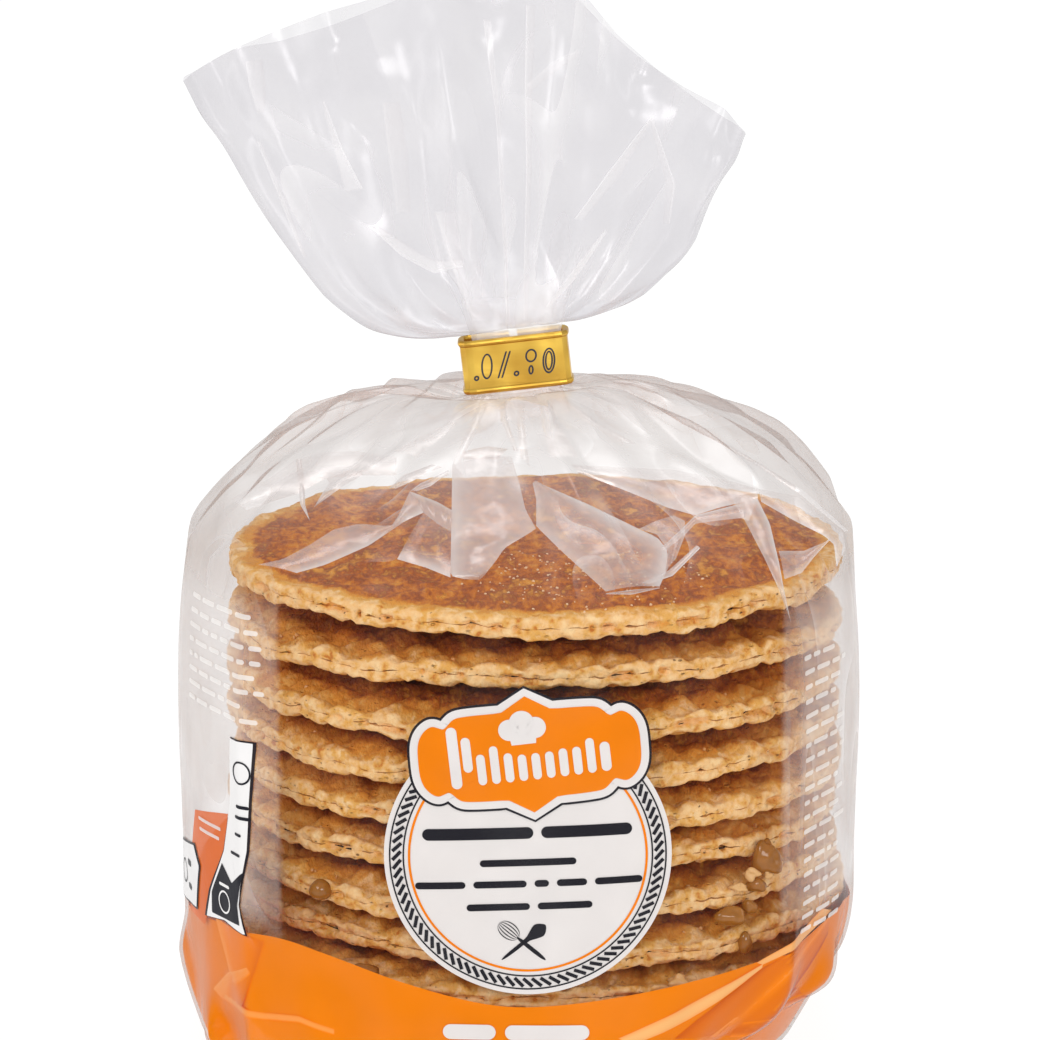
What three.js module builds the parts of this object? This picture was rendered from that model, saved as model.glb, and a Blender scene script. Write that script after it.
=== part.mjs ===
// A clear film bag of stacked caramel waffles, gathered at the neck and shut with a folded metal clip.
// Millimetres, +Z up. The bag's front faces -Y and the origin is the middle of its flat base.
// The film and the stack inside it are one solid out to the film. The clip is the second solid.
import * as THREE from "three";
import { ParametricGeometry } from "three/addons/geometries/ParametricGeometry.js";
import { mergeVertices } from "three/addons/utils/BufferGeometryUtils.js";

// ---- driving dimensions ----
const WAFFLE_DIAMETER = 90;
const WAFFLE_PITCH = 6.64; // one waffle and the air over it
const WAFFLE_COUNT = 11;
const SIDE_ROOM = 4.5; // between the stack and the film at the sides
const FRONT_ROOM = 3; // between the stack and the film at the front and back
const NECK_LENGTH = 10.4; // straight film inside the clip
const NECK_HALF_WIDTH = 6.3;
const NECK_HALF_DEPTH = 2;
const NECK_HEIGHT = 94.4; // where the neck starts, above the base
const CLIP_TILT = THREE.MathUtils.degToRad(6.5); // the clip's right end is the higher one
const CLIP_HEIGHT = 8;
const CLIP_HALF_WIDTH = 7.65; // to the middle of the strip
const CLIP_HALF_DEPTH = 2.75;
const CLIP_SHIFT = -0.4; // the clip sits a little left of the middle

// ---- worked out from them ----
const STACK_HEIGHT = WAFFLE_PITCH * WAFFLE_COUNT;
const HALF_WIDTH = WAFFLE_DIAMETER / 2 + SIDE_ROOM;
const HALF_DEPTH = WAFFLE_DIAMETER / 2 + FRONT_ROOM;
const TILT_SLOPE = Math.tan(CLIP_TILT);
const NECK_TOP = NECK_HEIGHT + NECK_LENGTH;

// ---- mesh fineness ----
const SECTION_STEPS = 64; // points round each section
const BODY_STEPS = 38; // sections from the base to the neck
const RUFF_STEPS = 15; // sections from the neck to the open mouth
const CLIP_STEPS = 44; // along the clip's strip

// The film's half width against its height, from the rounded foot over the shoulder and down into the neck.
const bodyProfile = new THREE.SplineCurve([
  new THREE.Vector2(HALF_WIDTH - 3, 0),
  new THREE.Vector2(HALF_WIDTH - 0.9, 3),
  new THREE.Vector2(HALF_WIDTH, 12),
  new THREE.Vector2(HALF_WIDTH, STACK_HEIGHT / 2),
  new THREE.Vector2(HALF_WIDTH, STACK_HEIGHT - 8),
  new THREE.Vector2(HALF_WIDTH - 0.2, STACK_HEIGHT + 2.5),
  new THREE.Vector2(HALF_WIDTH - 3.2, STACK_HEIGHT + 8.5),
  new THREE.Vector2(HALF_WIDTH - 10.5, STACK_HEIGHT + 14.5),
  new THREE.Vector2(HALF_WIDTH - 19.5, STACK_HEIGHT + 19),
  new THREE.Vector2(21, STACK_HEIGHT + 21.4),
  new THREE.Vector2(13.5, STACK_HEIGHT + 21),
  new THREE.Vector2(9.6, NECK_HEIGHT - 1.4),
  new THREE.Vector2(NECK_HALF_WIDTH, NECK_HEIGHT),
]);

// The gathered top fans out into a flat ruff. These are its lower edges, from the neck to the tips of the mouth.
const ruffLeft = new THREE.SplineCurve([
  new THREE.Vector2(-NECK_HALF_WIDTH, NECK_TOP - NECK_HALF_WIDTH * TILT_SLOPE),
  new THREE.Vector2(-10, 104.8),
  new THREE.Vector2(-17.6, 103.6),
  new THREE.Vector2(-24, 105.2),
  new THREE.Vector2(-31.6, 113),
  new THREE.Vector2(-40.5, 127),
  new THREE.Vector2(-48.8, 140.2),
]);
const ruffRight = new THREE.SplineCurve([
  new THREE.Vector2(NECK_HALF_WIDTH, NECK_TOP + NECK_HALF_WIDTH * TILT_SLOPE),
  new THREE.Vector2(11.5, 107.2),
  new THREE.Vector2(17.6, 109.6),
  new THREE.Vector2(23.5, 115.6),
  new THREE.Vector2(28.9, 125.2),
  new THREE.Vector2(33, 133.4),
]);

// How far the mouth's cut edge stands over a straight line between its tips, at shares of the way across.
const mouthCrest = [
  [0, 0],
  [0.05, 4.2],
  [0.35, 14],
  [0.45, 17.8],
  [0.55, 18.6],
  [0.66, 21.2],
  [0.73, 15],
  [0.86, 6.4],
  [1, 0],
];

const RUFF_HALF_DEPTH = 12.5; // at the mouth
const RUFF_FOLD_SHARE = 0.22; // of the ruff's depth, in and out
const SHOULDER_FOLD_SHARE = 0.075; // of the shoulder's radius, in and out
const BODY_SQUARENESS = 2.6; // power of the body's outline: 2 is an ellipse
const NECK_DEPTH_SHARE = NECK_HALF_DEPTH / NECK_HALF_WIDTH;
const BODY_DEPTH_SHARE = HALF_DEPTH / HALF_WIDTH;

const smoothstep = THREE.MathUtils.smoothstep;
const lerp = THREE.MathUtils.lerp;

// A power of a sine or cosine that keeps its sign, which squares off an ellipse.
const signedPower = (value, power) => Math.sign(value) * Math.abs(value) ** power;

// Uneven folds round the gathered film, from -1 to 1.
const folds = (angle) =>
  (Math.sin(9 * angle + 0.6) + 0.7 * Math.sin(14 * angle + 2.2) + 0.5 * Math.sin(5 * angle + 4)) / 2.2;

// The crest's height at a share of the way across the mouth.
function crestAt(share) {
  const next = Math.max(1, mouthCrest.findIndex(([at]) => at >= share));
  const [fromShare, fromHeight] = mouthCrest[next - 1];
  const [toShare, toHeight] = mouthCrest[next];
  return THREE.MathUtils.mapLinear(share, fromShare, toShare, fromHeight, toHeight);
}

// One section of the body or neck: a squared ellipse that folds near the neck and leans with the clip.
function bodySection(halfWidth, height) {
  const gathered = height > STACK_HEIGHT ? 1 - smoothstep(halfWidth, NECK_HALF_WIDTH, HALF_WIDTH) : 0;
  const power = 2 / lerp(BODY_SQUARENESS, 2, gathered);
  const foldShare = SHOULDER_FOLD_SHARE * 4 * gathered * (1 - gathered);
  const depthShare = lerp(BODY_DEPTH_SHARE, NECK_DEPTH_SHARE, gathered ** 4);
  return (angle, target) => {
    const reach = halfWidth * (1 + foldShare * folds(angle));
    const x = reach * signedPower(Math.cos(angle), power);
    const y = reach * depthShare * signedPower(Math.sin(angle), power);
    target.set(x, y, height + x * TILT_SLOPE * gathered ** 8);
  };
}

// One section of the ruff, as a share of the way from the neck to the mouth.
function ruffSection(share, depth) {
  const left = ruffLeft.getPointAt(share);
  const right = ruffRight.getPointAt(share);
  return (angle, target) => {
    const across = (1 + Math.cos(angle)) / 2;
    const edge = lerp(left.y, right.y, across);
    const fold = 1 + RUFF_FOLD_SHARE * smoothstep(share, 0, 0.4) * folds(angle);
    target.set(
      lerp(left.x, right.x, across),
      depth * fold * Math.sin(angle),
      edge + crestAt(across) * share ** 1.6,
    );
  };
}

// Every section of the bag, from the middle of the base up to the mouth, whose two sides are pressed together.
function bagSections() {
  const sections = [(angle, target) => target.set(0, 0, 0)];
  for (let i = 0; i <= BODY_STEPS; i++) {
    const { x, y } = bodyProfile.getPointAt(i / BODY_STEPS);
    sections.push(bodySection(x, Math.max(0, y)));
  }
  sections.push(bodySection(NECK_HALF_WIDTH, NECK_HEIGHT + NECK_LENGTH / 2));
  for (let i = 0; i <= RUFF_STEPS; i++) {
    const share = i / RUFF_STEPS;
    sections.push(ruffSection(share, lerp(NECK_HALF_DEPTH, RUFF_HALF_DEPTH, share ** 0.8)));
  }
  sections.push(ruffSection(1, 0));
  return sections;
}

// Merges a geometry's shared points and drops the triangles that collapsed, so that it is one closed surface.
function closed(geometry) {
  geometry.deleteAttribute("normal");
  geometry.deleteAttribute("uv");
  const merged = mergeVertices(geometry, 1e-3);
  const corners = Array.from(merged.index.array);
  const kept = [];
  for (let i = 0; i < corners.length; i += 3) {
    const triangle = corners.slice(i, i + 3);
    if (new Set(triangle).size === 3) kept.push(...triangle);
  }
  merged.setIndex(kept);
  merged.computeVertexNormals();
  return merged;
}

function bagGeometry() {
  const sections = bagSections();
  const last = sections.length - 1;
  const point = (u, v, target) => sections[Math.round(v * last)](2 * Math.PI * u, target);
  return closed(new ParametricGeometry(point, SECTION_STEPS, last));
}

// The strip's cross-section, X along the neck and Y through the wall, which has a rolled bead at each edge.
function clipProfile() {
  const wall = 0.25; // half the wall's thickness
  const bead = 0.5; // a bead's radius
  const beadAt = CLIP_HEIGHT / 2 - bead;
  const open = Math.asin(wall / bead); // half the angle that the wall takes out of each bead
  const profile = new THREE.Shape();
  profile.absarc(beadAt, 0, bead, open - Math.PI, Math.PI - open, false);
  profile.absarc(-beadAt, 0, bead, open, 2 * Math.PI - open, false);
  profile.closePath();
  return profile;
}

// The strip's way round the neck: it starts and ends at the back, where its two ends nearly meet.
function clipPath() {
  const corner = 1.4;
  const gap = 0.6; // half the slit between the ends
  const acrossX = CLIP_HALF_WIDTH - corner;
  const acrossY = CLIP_HALF_DEPTH - corner;
  const at = (x, y) => new THREE.Vector3(x, y, 0);
  const path = new THREE.CurvePath();
  const bend = (from, middle, to) => path.add(new THREE.QuadraticBezierCurve3(from, middle, to));
  const straight = (from, to) => path.add(new THREE.LineCurve3(from, to));
  straight(at(-gap, CLIP_HALF_DEPTH), at(-acrossX, CLIP_HALF_DEPTH));
  bend(at(-acrossX, CLIP_HALF_DEPTH), at(-CLIP_HALF_WIDTH, CLIP_HALF_DEPTH), at(-CLIP_HALF_WIDTH, acrossY));
  straight(at(-CLIP_HALF_WIDTH, acrossY), at(-CLIP_HALF_WIDTH, -acrossY));
  bend(at(-CLIP_HALF_WIDTH, -acrossY), at(-CLIP_HALF_WIDTH, -CLIP_HALF_DEPTH), at(-acrossX, -CLIP_HALF_DEPTH));
  straight(at(-acrossX, -CLIP_HALF_DEPTH), at(acrossX, -CLIP_HALF_DEPTH));
  bend(at(acrossX, -CLIP_HALF_DEPTH), at(CLIP_HALF_WIDTH, -CLIP_HALF_DEPTH), at(CLIP_HALF_WIDTH, -acrossY));
  straight(at(CLIP_HALF_WIDTH, -acrossY), at(CLIP_HALF_WIDTH, acrossY));
  bend(at(CLIP_HALF_WIDTH, acrossY), at(CLIP_HALF_WIDTH, CLIP_HALF_DEPTH), at(acrossX, CLIP_HALF_DEPTH));
  straight(at(acrossX, CLIP_HALF_DEPTH), at(gap, CLIP_HALF_DEPTH));
  return path;
}

function clipGeometry() {
  const options = { steps: CLIP_STEPS, curveSegments: 5, extrudePath: clipPath(), bevelEnabled: false };
  return closed(new THREE.ExtrudeGeometry(clipProfile(), options));
}

function bagMesh() {
  const film = new THREE.MeshStandardMaterial({ color: 0xe6e3e3, roughness: 0.12, metalness: 0 });
  const mesh = new THREE.Mesh(bagGeometry(), film);
  mesh.name = "bag";
  return mesh;
}

function clipMesh() {
  const goldFoil = new THREE.MeshStandardMaterial({ color: 0xd2a93c, roughness: 0.3, metalness: 0.8 });
  const mesh = new THREE.Mesh(clipGeometry(), goldFoil);
  mesh.name = "clip";
  mesh.position.set(CLIP_SHIFT, 0, NECK_HEIGHT + NECK_LENGTH / 2 + CLIP_SHIFT * TILT_SLOPE);
  mesh.rotation.y = -CLIP_TILT;
  return mesh;
}

const pack = new THREE.Group();
pack.add(bagMesh(), clipMesh());

export default pack;
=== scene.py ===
"""A clear film bag of caramel waffles, gathered at the neck and shut with a gold clip.

The bag stands on z = 0 and its printed front faces -Y. Sizes inside the classes are millimetres,
and MM turns them into Blender's metres.
"""

import itertools
import logging
import math
from dataclasses import dataclass, field, replace
from enum import Enum

import bpy
import numpy as np
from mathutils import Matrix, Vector
from mathutils.bvhtree import BVHTree


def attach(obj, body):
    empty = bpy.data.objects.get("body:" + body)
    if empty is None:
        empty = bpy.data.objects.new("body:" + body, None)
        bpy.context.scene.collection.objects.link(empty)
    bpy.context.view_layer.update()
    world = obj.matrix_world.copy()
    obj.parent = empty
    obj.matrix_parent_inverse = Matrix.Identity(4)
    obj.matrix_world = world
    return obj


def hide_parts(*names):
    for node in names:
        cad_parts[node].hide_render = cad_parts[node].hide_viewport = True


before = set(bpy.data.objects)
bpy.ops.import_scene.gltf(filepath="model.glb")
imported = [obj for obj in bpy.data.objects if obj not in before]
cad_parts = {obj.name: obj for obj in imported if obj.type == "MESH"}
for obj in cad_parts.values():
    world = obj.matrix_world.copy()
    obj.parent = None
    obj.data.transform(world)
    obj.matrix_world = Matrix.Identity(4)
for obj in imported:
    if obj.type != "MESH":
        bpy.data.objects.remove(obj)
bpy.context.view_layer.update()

MM = 0.001
LOG = logging.getLogger("waffle_bag")

Material = bpy.types.Material
Piece = bpy.types.Object
Socket = bpy.types.NodeSocket
Tree = bpy.types.NodeTree
Pairs = tuple[tuple[float, float], ...]
Rows = tuple[tuple[float, ...], ...]
Shape = tuple[np.ndarray, list]  # points, and faces as rows of point numbers

STACK_AT = (2.3, 0.0)  # the stack stands a little right of the bag's middle
NECK_RISE = 0.11  # how far the neck and the clip rise for each millimetre to the right


# ---------------------------------------------------------------- small tools


def linear(hex_colour: str) -> tuple[float, float, float, float]:
    """Turns an sRGB hex colour into the linear colour that a shader takes.

    Args:
        hex_colour: The colour as "#rrggbb".

    Returns:
        Linear red, green, blue and a full alpha.
    """
    shares = [int(hex_colour[i : i + 2], 16) / 255 for i in (1, 3, 5)]
    lit = [s / 12.92 if s <= 0.04045 else ((s + 0.055) / 1.055) ** 2.4 for s in shares]
    return (*lit, 1.0)


def smoothstep(low: float, high: float, value: np.ndarray) -> np.ndarray:
    """Eases from 0 at low to 1 at high."""
    t = np.clip((value - low) / (high - low), 0, 1)
    return t * t * (3 - 2 * t)


def signed_power(value: np.ndarray, power: float) -> np.ndarray:
    """Raises a sine or cosine to a power and keeps its sign, which squares off an ellipse."""
    return np.sign(value) * np.abs(value) ** power


def along(path: list[tuple[float, ...]], shares: np.ndarray) -> np.ndarray:
    """Finds points on a line through path, at shares of its whole length.

    Args:
        path: The line's corners, in millimetres.
        shares: Where the points lie, from 0 to 1.

    Returns:
        One row for each share.
    """
    corners = np.array(path, float)
    lengths = np.r_[0, np.cumsum(np.linalg.norm(np.diff(corners, axis=0), axis=1))]
    at = np.asarray(shares) * lengths[-1]
    return np.stack([np.interp(at, lengths, c) for c in corners.T], axis=-1)


def full_turn(columns: int) -> np.ndarray:
    """Gives angles spread evenly over one turn."""
    return np.linspace(0, 2 * np.pi, columns, endpoint=False)


def spun(points: np.ndarray, angle: float) -> np.ndarray:
    """Turns points anticlockwise round the origin, and leaves out their height."""
    c, s = math.cos(angle), math.sin(angle)
    x, y = points[:, 0], points[:, 1]
    return np.stack([c * x - s * y, s * x + c * y], axis=1)


def rim_points(angle: np.ndarray, radius: float) -> np.ndarray:
    """Gives points on a circle at z = 0."""
    return np.stack([np.cos(angle), np.sin(angle), np.zeros_like(angle)], axis=1) * radius


def pleated(rng: np.random.Generator, columns: int, least: float) -> np.ndarray:
    """Gives pleats out and in by turns, each at least this share of the deepest."""
    return np.where(np.arange(columns) % 2, 1, -1) * rng.uniform(least, 1, columns)


class Grain:
    """Smooth repeatable noise from a table of random heights."""

    def __init__(self, seed: int) -> None:
        """Fills the table from a fixed seed."""
        self.table = np.random.default_rng(seed).uniform(-1, 1, (32, 32, 32))

    def at(self, points: np.ndarray, size: float) -> np.ndarray:
        """Reads the noise.

        Args:
            points: Places in millimetres, one in each row.
            size: The width of one lump, in millimetres.

        Returns:
            A value from -1 to 1 for each point.
        """
        scaled = points / size + 1000.0
        cell = np.floor(scaled).astype(int)
        f = scaled - cell
        f = f * f * (3 - 2 * f)
        total = np.zeros(len(points))
        for corner in itertools.product((0, 1), repeat=3):
            weight = np.prod(np.where(np.array(corner, bool), f, 1 - f), axis=1)
            i, j, k = ((cell + corner) % 32).T
            total += weight * self.table[i, j, k]
        return total

    def layers(self, points: np.ndarray, sizes: Rows) -> np.ndarray:
        """Adds up noises, each given as its height, its width and how far off it is read."""
        return sum(height * self.at(points + offset, width) for height, width, offset in sizes)


def new_piece(name: str, points: np.ndarray, faces: list) -> Piece:
    """Makes a smooth mesh object at the origin.

    Args:
        name: The piece's name.
        points: Its vertices in millimetres.
        faces: Its faces, as rows of vertex numbers.

    Returns:
        The linked object.
    """
    mesh = bpy.data.meshes.new(name)
    mesh.from_pydata((np.asarray(points) * MM).tolist(), [], [list(map(int, f)) for f in faces])
    mesh.polygons.foreach_set("use_smooth", [True] * len(mesh.polygons))
    mesh.update()
    piece = bpy.data.objects.new(name, mesh)
    bpy.context.scene.collection.objects.link(piece)
    return piece


def points_of(piece: Piece) -> np.ndarray:
    """Gives a piece's points in millimetres."""
    places = np.empty(len(piece.data.vertices) * 3)
    piece.data.vertices.foreach_get("co", places)
    return places.reshape(-1, 3) / MM


def move_points(piece: Piece, points: np.ndarray) -> None:
    """Moves a piece's points to places given in millimetres."""
    piece.data.vertices.foreach_set("co", (points * MM).ravel())
    piece.data.update()


def keep(piece: Piece, name: str, values: np.ndarray, domain: str = "POINT") -> None:
    """Keeps an attribute on a piece: one number, or three, for each point or edge."""
    kind, key = ("FLOAT_VECTOR", "vector") if values.ndim > 1 else ("FLOAT", "value")
    made = piece.data.attributes.new(name, kind, domain)
    made.data.foreach_set(key, values.astype(np.float32).ravel())


def edge_ends(mesh: bpy.types.Mesh) -> np.ndarray:
    """Gives the two point numbers of each edge."""
    ends = np.empty(len(mesh.edges) * 2, int)
    mesh.edges.foreach_get("vertices", ends)
    return ends.reshape(-1, 2)


def settle(piece: Piece) -> Piece:
    """Turns a piece and its modifiers into a plain mesh with no modifiers."""
    bpy.context.view_layer.update()
    evaluated = piece.evaluated_get(bpy.context.evaluated_depsgraph_get())
    mesh = bpy.data.meshes.new_from_object(evaluated)
    piece.modifiers.clear()
    piece.data = mesh
    return piece


def hand_over(piece: Piece, material: Material | None = None) -> None:
    """Dresses a piece, lets it ride on the one body and reports it.

    Args:
        piece: The finished piece.
        material: What it wears, or None if it is dressed already.
    """
    if material is not None:
        piece.data.materials.clear()
        piece.data.materials.append(material)
    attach(piece, "root")
    LOG.info("%s: %d faces", piece.name, len(piece.data.polygons))


def ring_faces(rows: int, columns: int, flip: bool = False) -> list[tuple[int, ...]]:
    """Lists the quads between neighbouring closed rings.

    Args:
        rows: How many rings there are.
        columns: How many points each ring has.
        flip: Whether the faces turn the other way.

    Returns:
        The quads, facing outwards where rings go up and turn anticlockwise.
    """
    quads = []
    for i in range(rows - 1):
        for j in range(columns):
            k = (j + 1) % columns
            quad = (i * columns + j, i * columns + k, (i + 1) * columns + k, (i + 1) * columns + j)
            quads.append(quad[::-1] if flip else quad)
    return quads


def pole_faces(ring_start: int, columns: int, pole: int, flip: bool) -> list[tuple[int, int, int]]:
    """Lists the triangles that close a ring onto one point."""
    fans = [(ring_start + j, ring_start + (j + 1) % columns, pole) for j in range(columns)]
    return [f[::-1] for f in fans] if flip else fans


def closed_faces(rows: int, columns: int, flip: bool = False) -> list[tuple[int, ...]]:
    """Lists the faces of rings that close at each end on a pole; the poles are the last points."""
    first_pole = rows * columns
    faces = ring_faces(rows, columns, flip)
    faces += pole_faces(0, columns, first_pole, not flip)
    faces += pole_faces(first_pole - columns, columns, first_pole + 1, flip)
    return faces


def feed(tree: Tree, made: bpy.types.Node, inputs: dict) -> None:
    """Gives a node's inputs their values and links.

    Args:
        tree: The node tree.
        made: The node.
        inputs: Sockets by name or number, each with a value or the socket that feeds it.
    """
    for key, value in inputs.items():
        if isinstance(value, Socket):
            tree.links.new(value, made.inputs[key])
        else:
            made.inputs[key].default_value = value


def node(tree: Tree, kind: str, inputs: dict | None = None, **settings: object) -> bpy.types.Node:
    """Adds a node with its settings, values and links.

    Args:
        tree: The node tree.
        kind: The node's type.
        inputs: What feeds its sockets.
        **settings: The node's own properties.

    Returns:
        The new node.
    """
    made = tree.nodes.new(kind)
    for name, value in settings.items():
        setattr(made, name, value)
    feed(tree, made, inputs or {})
    return made


def new_material(name: str) -> tuple[Material, Tree, bpy.types.Node]:
    """Makes a material with one Principled shader.

    Args:
        name: The material's name.

    Returns:
        The material, its node tree and the shader.
    """
    material = bpy.data.materials.new(name)
    material.use_nodes = True
    tree = material.node_tree
    return material, tree, tree.nodes["Principled BSDF"]


def ramp(tree: Tree, fac: Socket, stops: list[tuple[float, str]]) -> Socket:
    """Turns a value into a colour.

    Args:
        tree: The node tree.
        fac: The value.
        stops: Places from 0 to 1, each with its hex colour.

    Returns:
        The colour's socket.
    """
    made = node(tree, "ShaderNodeValToRGB", {"Fac": fac})
    elements = made.color_ramp.elements
    while len(elements) < len(stops):
        elements.new(0.5)
    for element, (place, colour) in zip(elements, stops):
        element.position = place
        element.color = linear(colour)
    return made.outputs["Color"]


def blend_colours(
    tree: Tree, factor: Socket | float, a: object, b: object, way: str = "MIX"
) -> Socket:
    """Mixes two colours.

    Args:
        tree: The node tree.
        factor: How much of b there is.
        a: The first colour or its socket.
        b: The second colour or its socket.
        way: How they mix.

    Returns:
        The mixed colour's socket.
    """
    made = node(tree, "ShaderNodeMix", {0: factor, 6: a, 7: b}, data_type="RGBA", blend_type=way)
    return made.outputs[2]


def calculate(tree: Tree, operation: str, *values: object, clamp: bool = False) -> Socket:
    """Works out one number from others.

    Args:
        tree: The node tree.
        operation: The Math node's operation.
        *values: Numbers or sockets.
        clamp: Whether the answer stays from 0 to 1.

    Returns:
        The answer's socket.
    """
    made = node(
        tree, "ShaderNodeMath", dict(enumerate(values)), operation=operation, use_clamp=clamp
    )
    return made.outputs[0]


def reckon(tree: Tree, operation: str, inputs: dict) -> Socket:
    """Works out one vector from others."""
    return node(tree, "ShaderNodeVectorMath", inputs, operation=operation).outputs[0]


def noise(tree: Tree, size: float, detail: float = 2.0, stretch: tuple = (1, 1, 1)) -> Socket:
    """Reads noise on the piece's own coordinates.

    Args:
        tree: The node tree.
        size: The width of one lump, in millimetres.
        detail: How many finer layers it has.
        stretch: How much longer the lumps are along X, Y and Z.

    Returns:
        The value's socket.
    """
    place = node(tree, "ShaderNodeTexCoord").outputs["Object"]
    scale = tuple(1 / s for s in stretch)
    moved = node(tree, "ShaderNodeMapping", {"Vector": place, "Scale": scale}).outputs[0]
    made = node(
        tree, "ShaderNodeTexNoise", {"Vector": moved, "Scale": 1 / (size * MM), "Detail": detail}
    )
    return made.outputs["Fac"]


def attribute(tree: Tree, name: str, output: str = "Fac") -> Socket:
    """Reads one of the piece's own attributes."""
    return node(tree, "ShaderNodeAttribute", attribute_name=name).outputs[output]


def swayed(tree: Tree, value: Socket | float, by: Socket, much: Socket | float) -> Socket:
    """Adds noise to a value, as far above it as below."""
    return calculate(tree, "MULTIPLY_ADD", calculate(tree, "SUBTRACT", by, 0.5), much, value)


def bumped(tree: Tree, height: Socket, strength: float, depth: float) -> Socket:
    """Gives the normal of a surface with bumps this many millimetres deep."""
    sizes = {"Height": height, "Strength": strength, "Distance": depth * MM}
    return node(tree, "ShaderNodeBump", sizes).outputs[0]


def patchy(tree: Tree, colour: str, darkest: str, size: float) -> Socket:
    """Gives a colour that darkens towards another in soft patches of a size in millimetres."""
    uneven = blend_colours(tree, noise(tree, size), linear(darkest), linear("#ffffff"))
    return blend_colours(tree, 1.0, linear(colour), uneven, "MULTIPLY")


# ---------------------------------------------------------------- finishes


@dataclass(frozen=True)
class BakedWafer:
    """Wheat wafer baked in a waffle iron: browned faces, pale crumbly cut edges, no gloss."""

    name: str = "baked wheat wafer"
    dark: str = "#763418"
    brown: str = "#a85a26"
    light: str = "#cb7823"
    gold: str = "#e0993a"
    toasted: str = "#e9b058"
    crumb: str = "#f3c282"
    pale: str = "#fbd79e"
    pore_shade: str = "#64340f"
    roughness: float = 0.72

    def build(self) -> Material:
        """Makes the material, whose parts follow the wafer's crust and relief attributes."""
        material, tree, shader = new_material(self.name)
        crust = attribute(tree, "crust")
        relief = attribute(tree, "relief")
        mottle = noise(tree, 3.6, 4.0, (1, 2.2, 1))
        grit = noise(tree, 0.8, 3.0, (1, 2.4, 1))
        lumps = noise(tree, 1.9, 1.0, (1, 2.2, 1))
        # browner on the raised squares and in broad patches, as the iron's heat leaves it
        browning = swayed(tree, 0.68, grit, 0.8)
        contrast = calculate(tree, "MULTIPLY_ADD", crust, -1.9, 3.0)
        browning = swayed(tree, browning, mottle, contrast)
        browning = calculate(tree, "MULTIPLY_ADD", relief, -0.06, browning)
        # darker inwards from the rim: partly the face's own browning, partly painted shade where a
        # ledge runs in under the waffle above
        browning = calculate(tree, "MULTIPLY_ADD", crust, -0.2, browning)
        browns = [(0.22, self.dark), (0.4, self.brown), (0.56, self.light), (0.76, self.gold)]
        face = ramp(tree, browning, browns)
        golds = [(0.3, self.light), (0.4, self.toasted), (0.5, self.crumb), (0.68, self.pale)]
        crumb = ramp(tree, noise(tree, 1.5, 5.0), golds)
        # open pores of the cut crumb, about a millimetre apart, painted dark as the shade inside
        # them
        place = node(tree, "ShaderNodeTexCoord").outputs["Object"]
        flat = node(tree, "ShaderNodeMapping", {"Vector": place, "Scale": (1, 1, 2.2)}).outputs[0]
        cells = node(tree, "ShaderNodeTexVoronoi", {"Vector": flat, "Scale": 1 / (1.6 * MM)})
        size = calculate(tree, "MULTIPLY_ADD", grit, 4.0, -1.1)
        hole = calculate(tree, "MULTIPLY_ADD", cells.outputs["Distance"], -5.0, size, clamp=True)
        hole = calculate(tree, "MULTIPLY", hole, calculate(tree, "GREATER_THAN", mottle, 0.5))
        crumb = blend_colours(tree, hole, crumb, linear(self.pore_shade))
        # from the pale cut edge through a toasted gold lip to the browned face
        edge = swayed(tree, crust, mottle, 1.9)
        edge = swayed(tree, edge, grit, 0.9)
        colour = crumb
        bands = (
            (0.16, 0.34, linear(self.toasted)), (0.34, 0.56, linear(self.gold)), (0.56, 0.9, face)
        )
        for low, high, inner in bands:
            colour = blend_colours(tree, self.passed(tree, edge, low, high), colour, inner)
        height = calculate(
            tree, "MULTIPLY_ADD", grit, 0.8, calculate(tree, "MULTIPLY", lumps, 0.55)
        )
        height = calculate(tree, "MULTIPLY_ADD", hole, -0.5, height)
        normal = bumped(tree, height, 1.0, 0.6)
        feed(tree, shader, {"Base Color": colour, "Normal": normal, "Roughness": self.roughness})
        return material

    def passed(self, tree: Tree, value: Socket, low: float, high: float) -> Socket:
        """Eases from 0 where the value is low to 1 where it is high."""
        sizes = {"Value": value, "From Min": low, "From Max": high}
        return node(tree, "ShaderNodeMapRange", sizes, interpolation_type="SMOOTHSTEP").outputs[0]


@dataclass(frozen=True)
class CaramelSyrup:
    """Boiled sugar syrup: dark amber, thick and wet-looking."""

    name: str = "boiled caramel syrup"
    colour: str = "#38190a"
    roughness: float = 0.22
    clear: float = 0.0
    bending: float = 1.49  # its refractive index

    def build(self) -> Material:
        """Makes the material, a little uneven in depth of colour."""
        material, tree, shader = new_material(self.name)
        shade = patchy(tree, self.colour, "#b9b9b9", 1.2)
        feed(tree, shader, {"Base Color": shade, "Roughness": self.roughness})
        feed(tree, shader, {"IOR": self.bending, "Transmission Weight": self.clear})
        return material


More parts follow.
